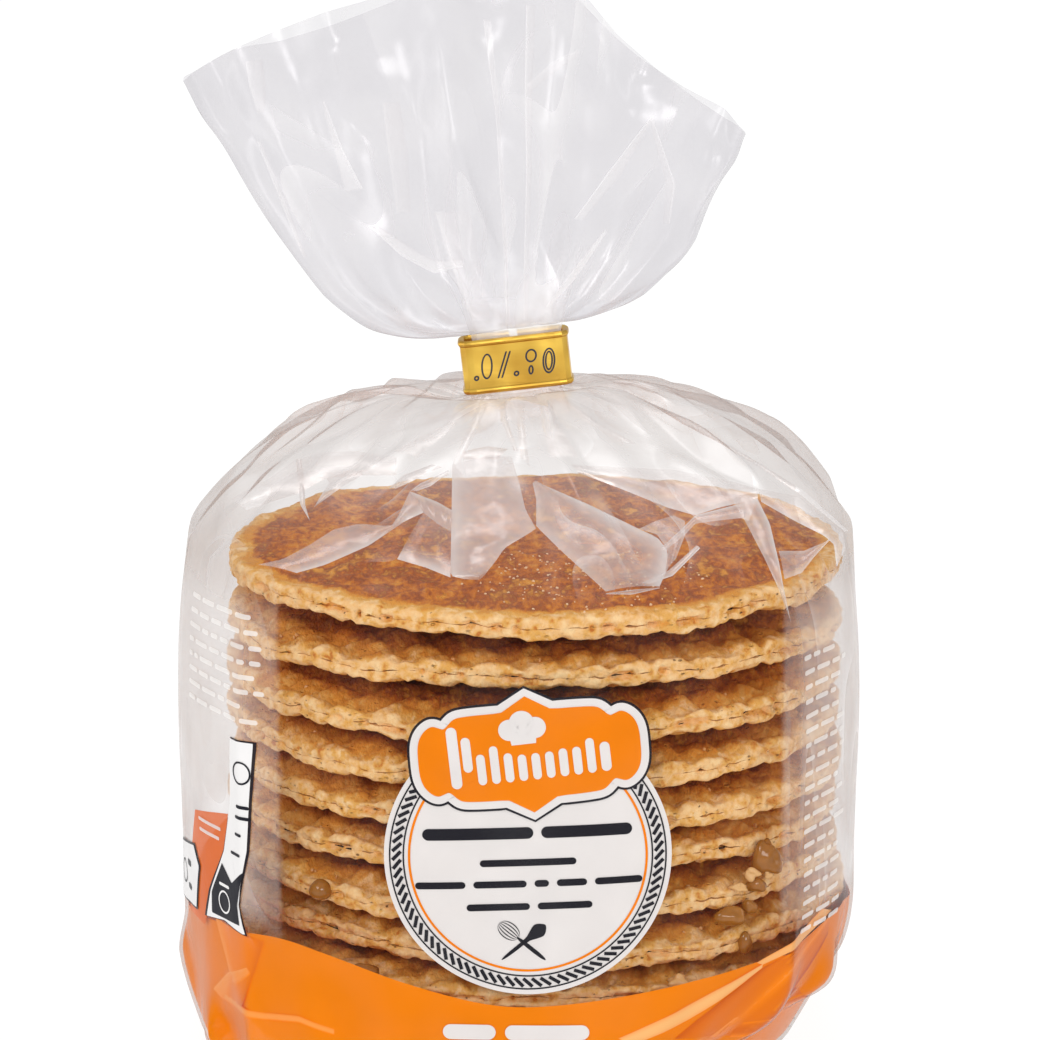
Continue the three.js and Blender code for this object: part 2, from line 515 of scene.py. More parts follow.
@dataclass(frozen=True)
class ClearFilm:
    """Cast polypropylene film: clear and glossy, greyer edge on, milky where it is doubled."""

    name: str = "cast polypropylene film"
    tint: str = "#f8f6f5"  # what is left of white light that goes straight through
    deep: str = "#e3dfdd"  # and of light that goes through edge on
    share: float = 0.004  # how much it reflects face on
    milk: float = 0.008  # how much more it hides in its cloudy patches
    gathered: float = 0.2  # how much more it hides where its gather attribute is 1
    edge: float = 0.3  # how much more it reflects edge on
    colour: str = "#f6f4f4"
    mirror: float = 0.4
    roughness: float = 0.36
    crinkle: float = 0.18
    facet: float = 8.0  # width of the flat facets that crumpling leaves
    tilt: float = 0.3  # how far each facet leans where the film is gathered
    slack: float = 0.0  # and how far it leans everywhere
    folds: float = 0.22  # how white its loose parts are along their small folds: painted sheen where the folds catch the light
    fold_size: float = 9.0

    def build(self) -> Material:
        """Makes the material: how much it reflects follows the angle at which it is seen."""
        material, tree, shader = new_material(self.name)
        fine = noise(tree, 2.4, 1.0, (1, 1, 2.2))
        gather = attribute(tree, "gather")
        bump = self.crumpled(tree, bumped(tree, fine, self.crinkle, 0.5), gather)
        facing = node(tree, "ShaderNodeLayerWeight", {"Blend": 0.5, "Normal": bump}).outputs[
            "Facing"
        ]
        steep = calculate(tree, "POWER", facing, 3.5)
        cloud = calculate(tree, "SUBTRACT", noise(tree, 9.0, 0.0), 0.42, clamp=True)
        cloud = calculate(tree, "MULTIPLY", cloud, 4.0)
        least = calculate(
            tree, "MULTIPLY_ADD", calculate(tree, "MINIMUM", cloud, 1.0), self.milk, self.share
        )
        least = calculate(tree, "MULTIPLY_ADD", gather, self.gathered, least)
        # painted sheen: whiter streaks along small folds in loose film
        if self.folds:
            least = calculate(tree, "MULTIPLY_ADD", self.folded(tree), self.folds, least)
        share = calculate(tree, "MULTIPLY_ADD", steep, self.edge, least, clamp=True)
        feed(tree, shader, {"Normal": bump, "Base Color": linear(self.colour)})
        feed(tree, shader, {"Metallic": self.mirror, "Roughness": self.roughness})
        aslant = calculate(tree, "POWER", facing, 1.2)
        through = blend_colours(tree, aslant, linear(self.tint), linear(self.deep))
        clear = node(tree, "ShaderNodeBsdfTransparent", {"Color": through})
        film = node(
            tree, "ShaderNodeMixShader", {0: share, 1: clear.outputs[0], 2: shader.outputs[0]}
        )
        feed(tree, tree.nodes["Material Output"], {"Surface": film.outputs[0]})
        return material

    def folded(self, tree: Tree) -> Socket:
        """Gives painted highlight streaks with one crisp edge and one soft one, along small folds
        in loose film.

        They follow the piece's lie attribute, and show as far as its loose attribute says.
        """
        lie = attribute(tree, "lie", "Vector")
        loose = attribute(tree, "loose")
        swell, patch = (
            self.swelling(tree, lie, size).outputs["Fac"] for size in (
                self.fold_size, self.fold_size * 0.8
            )
        )
        saw = calculate(tree, "FRACT", calculate(tree, "MULTIPLY", swell, 6.0))
        streak = calculate(tree, "POWER", saw, 3.0)
        here = calculate(tree, "SUBTRACT", patch, 0.46, clamp=True)
        here = calculate(tree, "MULTIPLY", here, 5.0, clamp=True)
        return calculate(tree, "MULTIPLY", calculate(tree, "MULTIPLY", streak, here), loose)

    def swelling(self, tree: Tree, place: Socket, size: float) -> bpy.types.Node:
        """Adds a soft noise with lumps of a size in millimetres."""
        sizes = {"Vector": place, "Scale": 1 / (size * MM), "Detail": 0.0}
        return node(tree, "ShaderNodeTexNoise", sizes)

    def crumpled(self, tree: Tree, normal: Socket, gather: Socket) -> Socket:
        """Leans the normal a different way in each crumpled facet.

        Args:
            tree: The node tree.
            normal: The normal before.
            gather: How crumpled the film is, from 0 to 1.

        Returns:
            The new normal's socket.
        """
        place = node(tree, "ShaderNodeTexCoord").outputs["Object"]
        swell = self.swelling(tree, place, self.facet).outputs["Color"]
        lean = reckon(tree, "SUBTRACT", {0: swell, 1: (0.5, 0.5, 0.5)})
        much = calculate(tree, "MULTIPLY_ADD", gather, self.tilt, self.slack)
        lean = reckon(tree, "SCALE", {0: lean, "Scale": much})
        leant = reckon(tree, "ADD", {0: normal, 1: lean})
        return reckon(tree, "NORMALIZE", {0: leant})


@dataclass(frozen=True)
class FilmInk:
    """Flexographic ink on film: even and thin, as glossy as the film over it."""

    name: str
    colour: str
    cover: float = 0.96
    roughness: float = 0.3
    gloss: float = 0.06

    def build(self) -> Material:
        """Makes the material, with the faint unevenness of a printed field."""
        material, tree, shader = new_material(self.name)
        shade = patchy(tree, self.colour, "#f1f1f1", 6.0)
        normal = bumped(tree, noise(tree, 4.0, 3.0, (1, 1, 2.0)), 0.2, 0.5)
        feed(tree, shader, {"Base Color": shade, "Normal": normal, "Roughness": self.roughness})
        feed(tree, shader, {"Specular IOR Level": self.gloss, "Alpha": self.cover})
        return material


@dataclass(frozen=True)
class PaintedCreaseInk:
    """Orange ink on folded film, with painted shade where the film turns away and painted highlight
    on a bright crease.
    """

    name: str = "creased orange film ink"
    # deep is painted shade and pale painted highlight; flat is the ink's own orange
    deep: str = "#cf5602"
    flat: str = "#ff8b00"
    pale: str = "#ffc680"
    roughness: float = 0.3
    gloss: float = 0.1

    def build(self) -> Material:
        """Makes the material, whose colour follows the fold's gather attribute, from painted shade
        to painted highlight.
        """
        material, tree, shader = new_material(self.name)
        oranges = [(0.0, self.deep), (0.5, self.flat), (1.0, self.pale)]
        shade = ramp(tree, attribute(tree, "gather"), oranges)
        feed(tree, shader, {"Base Color": shade, "Roughness": self.roughness})
        feed(tree, shader, {"Specular IOR Level": self.gloss})
        return material


@dataclass(frozen=True)
class GoldLacquer:
    """Gold-lacquered aluminium strip: warm satin metal, scuffed and slightly dented."""

    name: str = "gold-lacquered aluminium strip"
    colour: str = "#e6be55"
    worn: str = "#cfa142"
    roughness: float = 0.34

    def build(self) -> Material:
        """Makes the material, with shallow dents and faint brushed streaks along the strip."""
        material, tree, shader = new_material(self.name)
        streak = noise(tree, 0.5, 1.0, (12, 12, 1))
        shade = ramp(tree, noise(tree, 5.0, 1.0), [(0.35, self.worn), (0.65, self.colour)])
        dents = calculate(tree, "MULTIPLY_ADD", streak, 0.02, noise(tree, 5.0, 0.0))
        feed(tree, shader, {"Base Color": shade, "Normal": bumped(tree, dents, 0.8, 1.2)})
        feed(tree, shader, {"Roughness": self.roughness, "Metallic": 1.0})
        return material


@dataclass(frozen=True)
class SugarGrain:
    """Broken sugar and crumb grains: pale, faintly glossy on their facets."""

    name: str = "sugar grains"
    colour: str = "#fbeacb"
    shaded: str = "#d9a86c"
    roughness: float = 0.35

    def build(self) -> Material:
        """Makes the material, from pale gold to near white."""
        material, tree, shader = new_material(self.name)
        shade = blend_colours(tree, noise(tree, 2.0), linear(self.shaded), linear(self.colour))
        feed(tree, shader, {"Base Color": shade, "Roughness": self.roughness})
        return material


# ---------------------------------------------------------------- waffles


class Face(Enum):
    """Which way a wafer's baked face looks."""

    UP = 1
    DOWN = -1


@dataclass
class Wafer:
    """One of a waffle's two thin wafers, with its pressed squares and rough cut edge."""

    name: str
    face: Face
    seed: int
    pits: Grain  # both wafers of a waffle have the same pits
    turn: float  # of the squares, in radians
    radius: float = 45.0
    thickness: float = 1.6  # at the cut edge
    swell: float = 1.9  # how much thicker it is inside
    slit: float = 0.015  # half the gap that the syrup fills
    pit: float = 1.1  # how deep the gap is where it has come open
    pitch: float = 6.1  # of the pressed squares
    relief: float = 0.5
    lumps: float = 1.0  # how lumpy its face is
    golden: float = 7.0  # how far in from the rim the face is still pale gold; further in it darkens, partly its own browning and partly painted shade under the waffle above
    whole_face: bool = False  # the middle of its face shows
    columns: int = 520
    # rows of height, width and offset, in millimetres
    outline: Rows = ((0.55, 17.0, 0), (0.18, 4.5, 0))  # how the cut edge strays
    crumble: Rows = ((0.24, 0.8, 0), (0.15, 1.9, 40))  # how rough it is
    knobs: Rows = ((0.55, 3.0, 90), (0.3, 1.2, 10))  # how lumpy the face is

    def squares(self, points: np.ndarray) -> np.ndarray:
        """Gives the height of the pressed squares, from 0 in the grooves to 1 on the squares."""
        turned = spun(points, self.turn)
        wander = Grain(self.seed + 7)
        turned += 0.7 * np.stack([wander.at(points, 9.0), wander.at(points + 30, 9.0)], axis=1)
        to_groove = np.abs((turned / self.pitch) % 1 - 0.5) * 2
        return np.prod(1 - smoothstep(0.5, 0.95, to_groove), axis=1)

    def profile(self) -> np.ndarray:
        """Lists the rings as radius, height, crust, share of the relief and edge roughness."""
        r, t = self.radius, self.thickness
        inner = [(r - 7, 0.0, 0.2, 0, 0), (r - 2, 0.0, 0.1, 0, 0.3)]
        rim = [
            (r - 0.06, 0.0, 0, 0, 1),
            (r, 0.14 * t, 0, 0, 1),
            (r + 0.02, 0.28 * t, 0, 0, 1),
            (r + 0.04, 0.43 * t, 0, 0.1, 1),
            (r + 0.02, 0.58 * t, 0, 0.3, 1),
            (r - 0.08, 0.73 * t, 0.03, 0.6, 1),
            (r - 0.3, 0.86 * t, 0.1, 0.85, 0.9),
            (r - 0.7, 0.95 * t, 0.2, 1, 0.7),
            (r - 1.3, t, 0.3, 1, 0.4),
        ]
        first = r - 2.0
        if self.whole_face:
            stops = np.arange(first, 0.8, -0.95)
        else:
            stops = np.r_[np.arange(first, r - 14, -1.0), r - 22, 8]
        crust = 0.38 + 0.62 * smoothstep(0, self.golden, first - stops)
        outer = [(s, t, c, 1, 0.1) for s, c in zip(stops, crust)]
        return np.array(inner + rim + outer)

    def build(self, finish: Material) -> Piece:
        """Makes the wafer round the origin, with the waffle's middle plane at z = 0.

        Args:
            finish: What it wears.

        Returns:
            The wafer, not yet moved into the stack.
        """
        rough, rim = Grain(self.seed), self.profile()
        angle = full_turn(self.columns)
        rows = len(rim)
        theta = np.tile(angle, rows)
        radius, height, crust, share, edge = (np.repeat(column, self.columns) for column in rim.T)
        round_edge = rim_points(angle, self.radius)
        near_rim = smoothstep(self.radius - 12, self.radius, radius)
        radius = radius + np.tile(self.pits.layers(round_edge, self.outline), rows) * near_rim
        points = np.stack([radius * np.cos(theta), radius * np.sin(theta), height], axis=1)
        crumble = edge * self.pits.layers(points, self.crumble)
        # the gap to the other wafer shows only as a broken row of pits
        opened = smoothstep(0.0, 0.3, self.pits.at(round_edge, 1.3))
        opened = opened * smoothstep(-0.2, 0.2, self.pits.at(round_edge, 6.0))
        near_gap = smoothstep(0.4, 0.16, height / self.thickness) * (edge > 0.5)
        crumble = crumble - self.pit * near_gap * np.tile(opened, rows)
        points[:, :2] *= (1 + crumble / np.maximum(radius, 1))[:, None]
        pressed = self.squares(points)
        uneven = self.lumps * rough.layers(points, self.knobs)
        uneven *= 0.35 + 0.65 * smoothstep(self.radius - 0.8, self.radius - 3.5, radius)
        raised = share * (self.relief * (pressed - 0.6) + uneven)
        points[:, 2] += raised + 0.24 * edge * rough.at(points + 60, 1.0)
        swelling = self.swell * smoothstep(self.radius - 0.9, self.radius - 15, radius)
        points[:, 2] += np.where(share > 0.8, swelling, 0)
        gap = np.maximum(self.slit * (1 + 1.2 * rough.at(round_edge, 3.3)), 0.01)
        points[:, 2] = np.maximum(points[:, 2], np.where(share > 0, 0.25, -0.02)) + np.tile(
            gap, rows
        )
        poles = np.array([[0, 0, self.slit], [0, 0, self.slit + self.thickness + self.swell]])
        points = np.vstack([points, poles])
        points[:, 2] *= self.face.value
        wave = np.tile(0.5 * self.pits.at(round_edge, 8.0), rows)
        points[:-2, 2] += wave * smoothstep(self.radius - 7, self.radius, radius)
        faces = closed_faces(rows, self.columns, self.face is Face.DOWN)
        piece = new_piece(self.name, points, faces)
        self.sharpen(piece.data)
        keep(piece, "crust", np.r_[crust, 0.2, 1.0])
        keep(piece, "relief", np.r_[pressed * share, 0.5, 0.5])
        piece.data.materials.append(finish)
        return piece

    def sharpen(self, mesh: bpy.types.Mesh) -> None:
        """Marks the edge of the slit as sharp, so that it doesn't shade the rim."""
        slit = (edge_ends(mesh) // self.columns == 2).all(axis=1)
        mesh.attributes.new("sharp_edge", "BOOLEAN", "EDGE").data.foreach_set("value", slit)


@dataclass
class Waffle:
    """Two wafers stuck together with syrup, lying in the stack."""

    number: int
    left_height: float  # of its middle plane, at the stack's left edge
    right_height: float
    shift: tuple[float, float]
    lean: float  # towards the front, in millimetres over its width
    top: bool = False
    radius: float = 45.0
    lowest: float = 0.4
    # how each wafer differs: by the way it faces, and whether it is the pack's top one
    shapes = {
        (Face.UP, True): {"relief": 0.16, "lumps": 0.6, "swell": 0.5},
        (Face.UP, False): {"relief": 0.75, "lumps": 1.2, "swell": 1.8},
        (Face.DOWN, False): {"relief": 0.5, "lumps": 1.2, "swell": 1.35},
    }
    rng: np.random.Generator = field(default_factory=lambda: np.random.default_rng(0))

    def place(self, piece: Piece) -> None:
        """Moves a piece's points from the waffle's middle into the stack, with a slight warp."""
        co = points_of(piece)
        x, y = co[:, 0] / self.radius, co[:, 1] / self.radius
        tilt = (self.right_height - self.left_height) / 1.55 * x / 2 + self.lean / 2 * y
        warp = 0.28 * np.sin(2 * np.arctan2(y, x) + self.number * 1.7) * (x * x + y * y)
        co[:, 2] += (self.left_height + self.right_height) / 2 + tilt + warp
        co[:, 0] += STACK_AT[0] + self.shift[0]
        co[:, 1] += STACK_AT[1] + self.shift[1]
        # the lowest waffle is pressed flat against the bag's base
        co[:, 2] = np.maximum(co[:, 2], self.lowest)
        move_points(piece, co)

    def syrup(self, finish: Material) -> Piece:
        """Makes the thin uneven layer of syrup that shows in the slit between the wafers."""
        columns, grain = 240, Grain(500 + self.number)
        angle = full_turn(columns)
        edge = rim_points(angle, self.radius)
        reach = self.radius - 1.5 + 0.7 * grain.at(edge, 5.0) + 0.3 * grain.at(edge, 1.8)
        rings = [(0.75, -0.1), (1, -0.08), (1.003, 0.0), (1, 0.08), (0.75, 0.1)]
        points = [
            np.stack(
                [reach * s * np.cos(angle), reach * s * np.sin(angle), np.full(columns, z)], axis=1
            )
            for s, z in rings
        ]
        points = np.vstack([*points, [[0, 0, -0.1], [0, 0, 0.1]]])
        piece = new_piece(
            f"waffle_{self.number:02d}_syrup", points, closed_faces(len(rings), columns)
        )
        piece.data.materials.append(finish)
        return piece

    def build(self, wafer: Material, syrup: Material) -> list[Piece]:
        """Makes the waffle's three pieces.

        Args:
            wafer: What the wafers wear.
            syrup: What the syrup wears.

        Returns:
            The upper wafer, the lower wafer and the syrup.
        """
        turn, pits = self.rng.uniform(0, np.pi), Grain(700 + self.number)
        halves = []
        for face, label in ((Face.UP, "upper"), (Face.DOWN, "lower")):
            half = Wafer(
                name=f"waffle_{self.number:02d}_{label}_wafer",
                face=face,
                seed=int(self.rng.integers(1000)),
                pits=pits,
                turn=turn,
                radius=self.radius,
                golden=2.0 if self.top else 6.5,
                whole_face=self.top and face is Face.UP,
                **self.shapes[(face, self.top and face is Face.UP)],
            )
            halves.append(half.build(wafer))
        pieces = [*halves, self.syrup(syrup)]
        for piece in pieces:
            self.place(piece)
        for piece, slot in zip(pieces, ("wafer", "wafer", "syrup")):
            hand_over(piece)
        return pieces


@dataclass
class WaffleStack:
    """The waffles in the bag, from the bottom one up, each lying a little crooked on the last."""

    left: tuple[float, ...] = (3.5, 9.7, 16.2, 22.9, 29.9, 36.3, 42.5, 48.8, 55.5, 62.6, 70.9)
    right: tuple[float, ...] = (3.5, 9.6, 15.8, 21.8, 28.1, 35.0, 41.7, 48.4, 54.9, 62.2, 71.3)
    full_radius: float = 45.0
    smaller: float = 4.2  # how much the lowest one lacks, to keep clear of the tucked corner
    growth: float = 1.9  # how much less each one above it lacks
    stray: float = 0.9  # how far each one may lie to a side
    top_lean: float = 1.6
    pieces: list[Piece] = field(default_factory=list)

    def build(self) -> "WaffleStack":
        """Makes every waffle and keeps its pieces."""
        wafer, syrup = BakedWafer().build(), CaramelSyrup().build()
        rng = np.random.default_rng(41)
        last = len(self.left) - 1
        for i, (low, high) in enumerate(zip(self.left, self.right)):
            top = i == last
            shift = np.zeros(2) if top else rng.uniform(-self.stray, self.stray, 2)
            short = max(0.0, self.smaller - self.growth * i)
            shift[0] -= 0.9 * short
            lean = rng.uniform(-0.5, 0.5) + (self.top_lean if top else 0.0)
            radius = self.full_radius - short
            waffle = Waffle(i + 1, low, high, tuple(shift), lean, top, radius, rng=rng)
            self.pieces += waffle.build(wafer, syrup)
        return self


# ---------------------------------------------------------------- film


class Crease(Enum):
    """How sharply each kind of edge of the film's net may be folded: how often, and how hard."""

    DOWN = (0.55, 0.95)
    ROUND = (0.12, 0.6)
    SLANT = (0.3, 0.85)


@dataclass
class FilmNet:
    """A net of coarse points over a piece of film, whose edges fold sharply here and there."""

    name: str
    points: np.ndarray  # rows, columns, 3
    crumple: np.ndarray  # for each row, how far its points stray, in millimetres
    seed: int
    closed: bool = True
    levels: int = 3
    seams: tuple[int, ...] = ()
    brims: tuple[int, ...] = ()  # rows that are folded all the way round

    def build(self) -> Piece:
        """Makes the film by subdividing the net, and leaves a plain mesh."""
        rng = np.random.default_rng(self.seed)
        rows, columns = self.points.shape[:2]
        stray = rng.normal(0, 1, self.points.shape) * self.crumple[:, None, None] * 0.6
        points = (self.points + stray).reshape(-1, 3)
        faces = []
        for i, j in itertools.product(
            range(rows - 1), range(columns if self.closed else columns - 1)
        ):
            k = (j + 1) % columns
            below, above = i * columns, (i + 1) * columns
            a, b, c, d = below + j, below + k, above + k, above + j
            faces += [(a, b, c), (a, c, d)] if rng.random() < 0.5 else [(a, b, d), (b, c, d)]
        piece = new_piece(self.name, points, faces)
        mesh = piece.data
        pairs = edge_ends(mesh)
        row, column = pairs // columns, pairs % columns
        lively = np.clip(self.crumple[row].mean(axis=1) / 0.9, 0, 1)
        kinds = np.where(row[:, 0] == row[:, 1], 1, np.where(column[:, 0] == column[:, 1], 0, 2))
        often, hard = (np.array([k.value[n] for k in Crease])[kinds] for n in (0, 1))
        folded = (rng.random(len(pairs)) < often) * rng.uniform(0.35, 1, len(pairs)) * hard * lively
        on_seam = (kinds == 0) & np.isin(column[:, 0], self.seams)
        on_brim = (kinds == 1) & np.isin(row[:, 0], self.brims)
        folded = np.where(on_seam, 0.9, np.where(on_brim, 0.55, folded))
        keep(piece, "crease_edge", folded, "EDGE")
        subdivide = piece.modifiers.new("film", "SUBSURF")
        subdivide.levels = subdivide.render_levels = self.levels
        subdivide.boundary_smooth = "PRESERVE_CORNERS"
        return settle(piece)


def lay(film: Piece, lie: np.ndarray, loose: np.ndarray) -> None:
    """Keeps where each point of a film lies across and along its folds, and how loose it is: where
    loose, the painted sheen along its folds shows.
    """
    keep(film, "lie", lie * MM)
    keep(film, "loose", loose)
    film.visible_shadow = False  # clear film keeps hardly any light from what it wraps


@dataclass
class FilmBody:
    """The bag from its flat base up over the shoulders to the neck."""

    half_width: float = 50.2
    half_depth: float = 48.2
    columns: int = 48
    # the block bottom's four upright edges
    seam_angles: tuple[float, ...] = (-135.0, -45.0, 45.0, 135.0)
    seam_stand: float = 0.022  # how much further out the film is folded along them
    # height, share of the half width, squareness and crumple, from the base to the neck
    hoops: Rows = (
        (0.35, 0.6, 2.8, 0.0),
        (0.35, 0.86, 2.8, 0.1),
        (1.2, 0.92, 2.8, 0.6),
        (5.5, 0.955, 2.8, 1.2),
        (11.0, 0.97, 2.8, 1.1),
        (18.0, 0.982, 2.7, 0.4),
        (28.0, 0.99, 2.7, 0.12),
        (38.0, 0.995, 2.6, 0.12),
        (48.0, 1.0, 2.6, 0.15),
        (58.0, 0.998, 2.6, 0.25),
        (67.0, 0.99, 2.6, 0.4),
        (75.8, 0.965, 2.5, 0.5),
        (80.8, 0.895, 2.4, 0.9),
        (85.5, 0.795, 2.3, 1.1),
        (89.5, 0.685, 2.2, 1.2),
        (92.5, 0.57, 2.1, 1.1),
        (94.6, 0.45, 2.0, 0.9),
        (95.6, 0.35, 2.0, 0.6),
        (95.4, 0.26, 2.0, 0.4),
        (94.6, 0.19, 2.0, 0.2),
        (95.2, 0.135, 2.0, 0.1),
    )
    pleat: float = 0.075
    # which way the side panels lie, and how far from the middle they start; milky is how much
    # whiter the film is made there, partly painted sheen of film seen edge-on and partly its layers
    side_panels: Pairs = ((-1.0, 33.5), (1.0, 37.0))
    milky: float = 1.6
    shoulder_shift: float = 1.4  # how far the slack shoulders hang to the right
    # what the foot keeps clear of: the lowest waffle, and how much further each one above it goes
    waffle_middle: tuple[float, float] = (-1.5, 1.75)
    waffle_reach: tuple[float, float] = (42.8, 1.9)
    waffle_pitch: float = 6.6
    clear_heights: tuple[float, float] = (0.6, 22.0)

    def net(self) -> tuple[np.ndarray, np.ndarray]:
        """Places the net's points.

        Returns:
            The points, and how far each row strays.
        """
        rng = np.random.default_rng(12)
        even = full_turn(self.columns)
        seams = np.zeros(self.columns)
        seams[list(self.seams())] = self.seam_stand
        loose = even + rng.uniform(-0.4, 0.4, self.columns) * 2 * np.pi / self.columns
        pleats = pleated(rng, self.columns, 0.3)
        rows = []
        for height, share, power, _ in self.hoops:
            gathered = smoothstep(0.0, 1.0, (1 - share) / 0.8) if height > 60 else 0.0
            angle = even * (1 - gathered) + loose * gathered
            deep = self.pleat * pleats * 4 * gathered * (1 - gathered * 0.75)
            fold = 1 + deep + seams * (1 - gathered)
            reach = self.half_width * share * fold
            flat = 1 - 0.56 * gathered**3
            x = reach * signed_power(np.cos(angle), 2 / power)
            y = reach * flat * self.half_depth / self.half_width * signed_power(
                np.sin(angle), 2 / power
            )
            x += self.shoulder_shift * smoothstep(74, 84, height) * smoothstep(96, 90, height)
            z = np.full(self.columns, height) + x * NECK_RISE * gathered**8
            rows.append(np.stack([x, y, z], axis=1))
        return np.array(rows), np.array([h[3] for h in self.hoops])

    def seams(self) -> tuple[int, ...]:
        """Gives the columns of the net that run up the four seams."""
        return tuple(round(a / 360 * self.columns) % self.columns for a in self.seam_angles)

    def tuck(self, points: np.ndarray) -> np.ndarray:
        """Pulls in the foot's right front corner, where the bottom is folded up under the bag."""
        x, y, z = points[..., 0], points[..., 1], points[..., 2]
        much = smoothstep(12, 48, x) * smoothstep(10, 0, z)
        lifted = smoothstep(14, 40, x) * smoothstep(18, 2, z) ** 1.3 * smoothstep(0, -24, y)
        points[..., 0] = x - 6.0 * much - 10.0 * lifted
        points[..., 1] = np.where(y < 0, y * (1 - 0.1 * much), y)
        return points

    def clear_of_waffles(self, points: np.ndarray) -> np.ndarray:
        """Keeps the film outside the lowest waffles and above the ground."""
        layer = np.clip(points[:, 2] / self.waffle_pitch, 0, 2)
        middle, reach = (
            low + more * layer for low, more in (self.waffle_middle, self.waffle_reach)
        )
        beside = points[:, :2] - np.stack([middle, 0 * layer], axis=1)
        distance = np.maximum(np.hypot(*beside.T), 1.0)
        low, high = self.clear_heights
        out = np.where(
            (points[:, 2] > low) & (points[:, 2] < high), np.maximum(reach / distance, 1.0), 1.0
        )
        points[:, :2] += beside * (out - 1)[:, None]
        points[:, 2] = np.maximum(points[:, 2], 0.02)
        return points

    def build(self, finish: Material) -> Piece:
        """Makes the film from base to neck.

        Args:
            finish: What it wears.

        Returns:
            The film.
        """
        points, crumple = self.net()
        points = self.tuck(points)
        corner = smoothstep(20, 40, np.abs(points[..., 0])) * (points[..., 2] > 1)
        corner = corner * smoothstep(22, 12, points[..., 2])
        points += np.random.default_rng(6).normal(0, 1.2, points.shape) * corner[..., None]
        film = FilmNet("film_body", points, crumple, 5, seams=self.seams(), brims=(11,)).build()
        co = self.clear_of_waffles(points_of(film))
        move_points(film, co)
        z, out = co[:, 2], np.hypot(co[:, 0], co[:, 1])
        gather = smoothstep(73.0, 93.0, z) ** 2
        side = np.zeros(len(co))
        for way, start in self.side_panels:
            across = way * co[:, 0] - start
            side += 0.4 * smoothstep(-0.4, 0.4, across) + 0.6 * smoothstep(1.0, 8.0, across)
        side *= (co[:, 1] > -42) * smoothstep(40, 20, co[:, 1])
        # the side panels are made whiter: partly painted sheen of film seen edge-on, partly its
        # layers there
        panel = self.milky * side * smoothstep(76, 68, z) * smoothstep(24, 29, z)
        keep(film, "gather", np.maximum(gather, panel))
        round_about = co[:, :2] / np.maximum(out, 1)[:, None] * 40
        lie = np.column_stack([round_about, 0.35 * (z - out)])
        # the painted sheen along small folds shows on the slack shoulders and the side panels
        lay(film, lie, np.maximum(smoothstep(73, 82, z), side * smoothstep(20, 30, z)))
        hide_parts("bag")
        hand_over(film, finish)
        return film


@dataclass
class Ruff:
    """The loose film above the clip, fanned out flat with radial pleats."""

    columns: int = 30
    depth: float = 7.0
    neck_depth: float = 1.9
    pleat: float = 3.0
    heart: tuple[float, float] = (-1.0, 92.0)  # the folds fan out from here
    shares: tuple[float, ...] = (0.0, 0.07, 0.16, 0.27, 0.4, 0.54, 0.68, 0.82, 0.92, 1.0)
    left: Pairs = (
        (-6.0, 103.9),
        (-11.5, 102.6),
        (-17.0, 102.4),
        (-22.0, 103.6),
        (-26.2, 106.0),
        (-31.2, 111.2),
        (-48.8, 140.0),
    )
    right: Pairs = (
        (6.0, 105.2),
        (10.5, 105.9),
        (14.5, 106.9),
        (18.0, 109.0),
        (22.4, 112.4),
        (24.6, 115.0),
        (33.2, 132.6),
    )
    # the cut edge of the mouth, from its left tip to its right tip
    mouth: Pairs = (
        (-48.8, 140.0),
        (-44.5, 143.5),
        (-37.0, 146.3),
        (-27.0, 149.3),
        (-14.5, 153.0),
        (-9.5, 154.2),
        (-3.0, 153.4),
        (0.5, 155.2),
        (5.0, 156.4),
        (9.2, 155.4),
        (10.8, 148.6),
        (18.0, 143.2),
        (26.0, 138.0),
        (33.2, 132.6),
    )

    def net(self) -> tuple[np.ndarray, np.ndarray]:
        """Places the net's points.

        Returns:
            The points, and how far each row strays.
        """
        rng = np.random.default_rng(33)
        angle = full_turn(self.columns) + rng.uniform(-0.05, 0.05, self.columns)
        across = (1 - np.cos(angle)) / 2
        side = np.sin(angle)  # front is below zero
        pleats = pleated(rng, self.columns, 0.25)
        crest = along(list(self.mouth), np.linspace(0, 1, 200))
        (first_x, first_z), (last_x, last_z) = self.mouth[0], self.mouth[-1]
        top = np.interp(first_x + across * (last_x - first_x), crest[:, 0], crest[:, 1])
        level = first_z + across * (last_z - first_z)
        left, right = (along(list(e), np.array(self.shares)) for e in (self.left, self.right))
        rows = []
        for share, low, high in zip(self.shares, left, right):
            x = low[0] + across * (high[0] - low[0])
            z = low[1] + across * (high[1] - low[1]) + (top - level) * share**1.5
            open_share = share**0.7
            y = side * (self.neck_depth + (self.depth - self.neck_depth) * open_share)
            y = y + pleats * self.pleat * open_share * np.abs(side) ** 0.6
            rows.append(np.stack([x, y, z], axis=1))
        crumple = 0.15 + 0.6 * smoothstep(0, 0.35, np.array(self.shares))
        crumple[0] = 0.05
        return np.array(rows), crumple

    def build(self, finish: Material) -> Piece:
        """Makes the fan of film.

        Args:
            finish: What it wears.

        Returns:
            The film.
        """
        points, crumple = self.net()
        film = FilmNet("film_ruff", points[:, ::-1], crumple, 21).build()
        co = points_of(film)
        beside, above = co[:, 0] - self.heart[0], co[:, 2] - self.heart[1]
        turn, out = np.arctan2(beside, above), np.hypot(beside, above)
        # the painted sheen along small folds shows all over the ruff
        lay(
            film, np.column_stack([45 * turn, 30 * np.sign(co[:, 1]), 0.35 * out]), np.ones(len(co))
        )
        hand_over(film, finish)
        return film


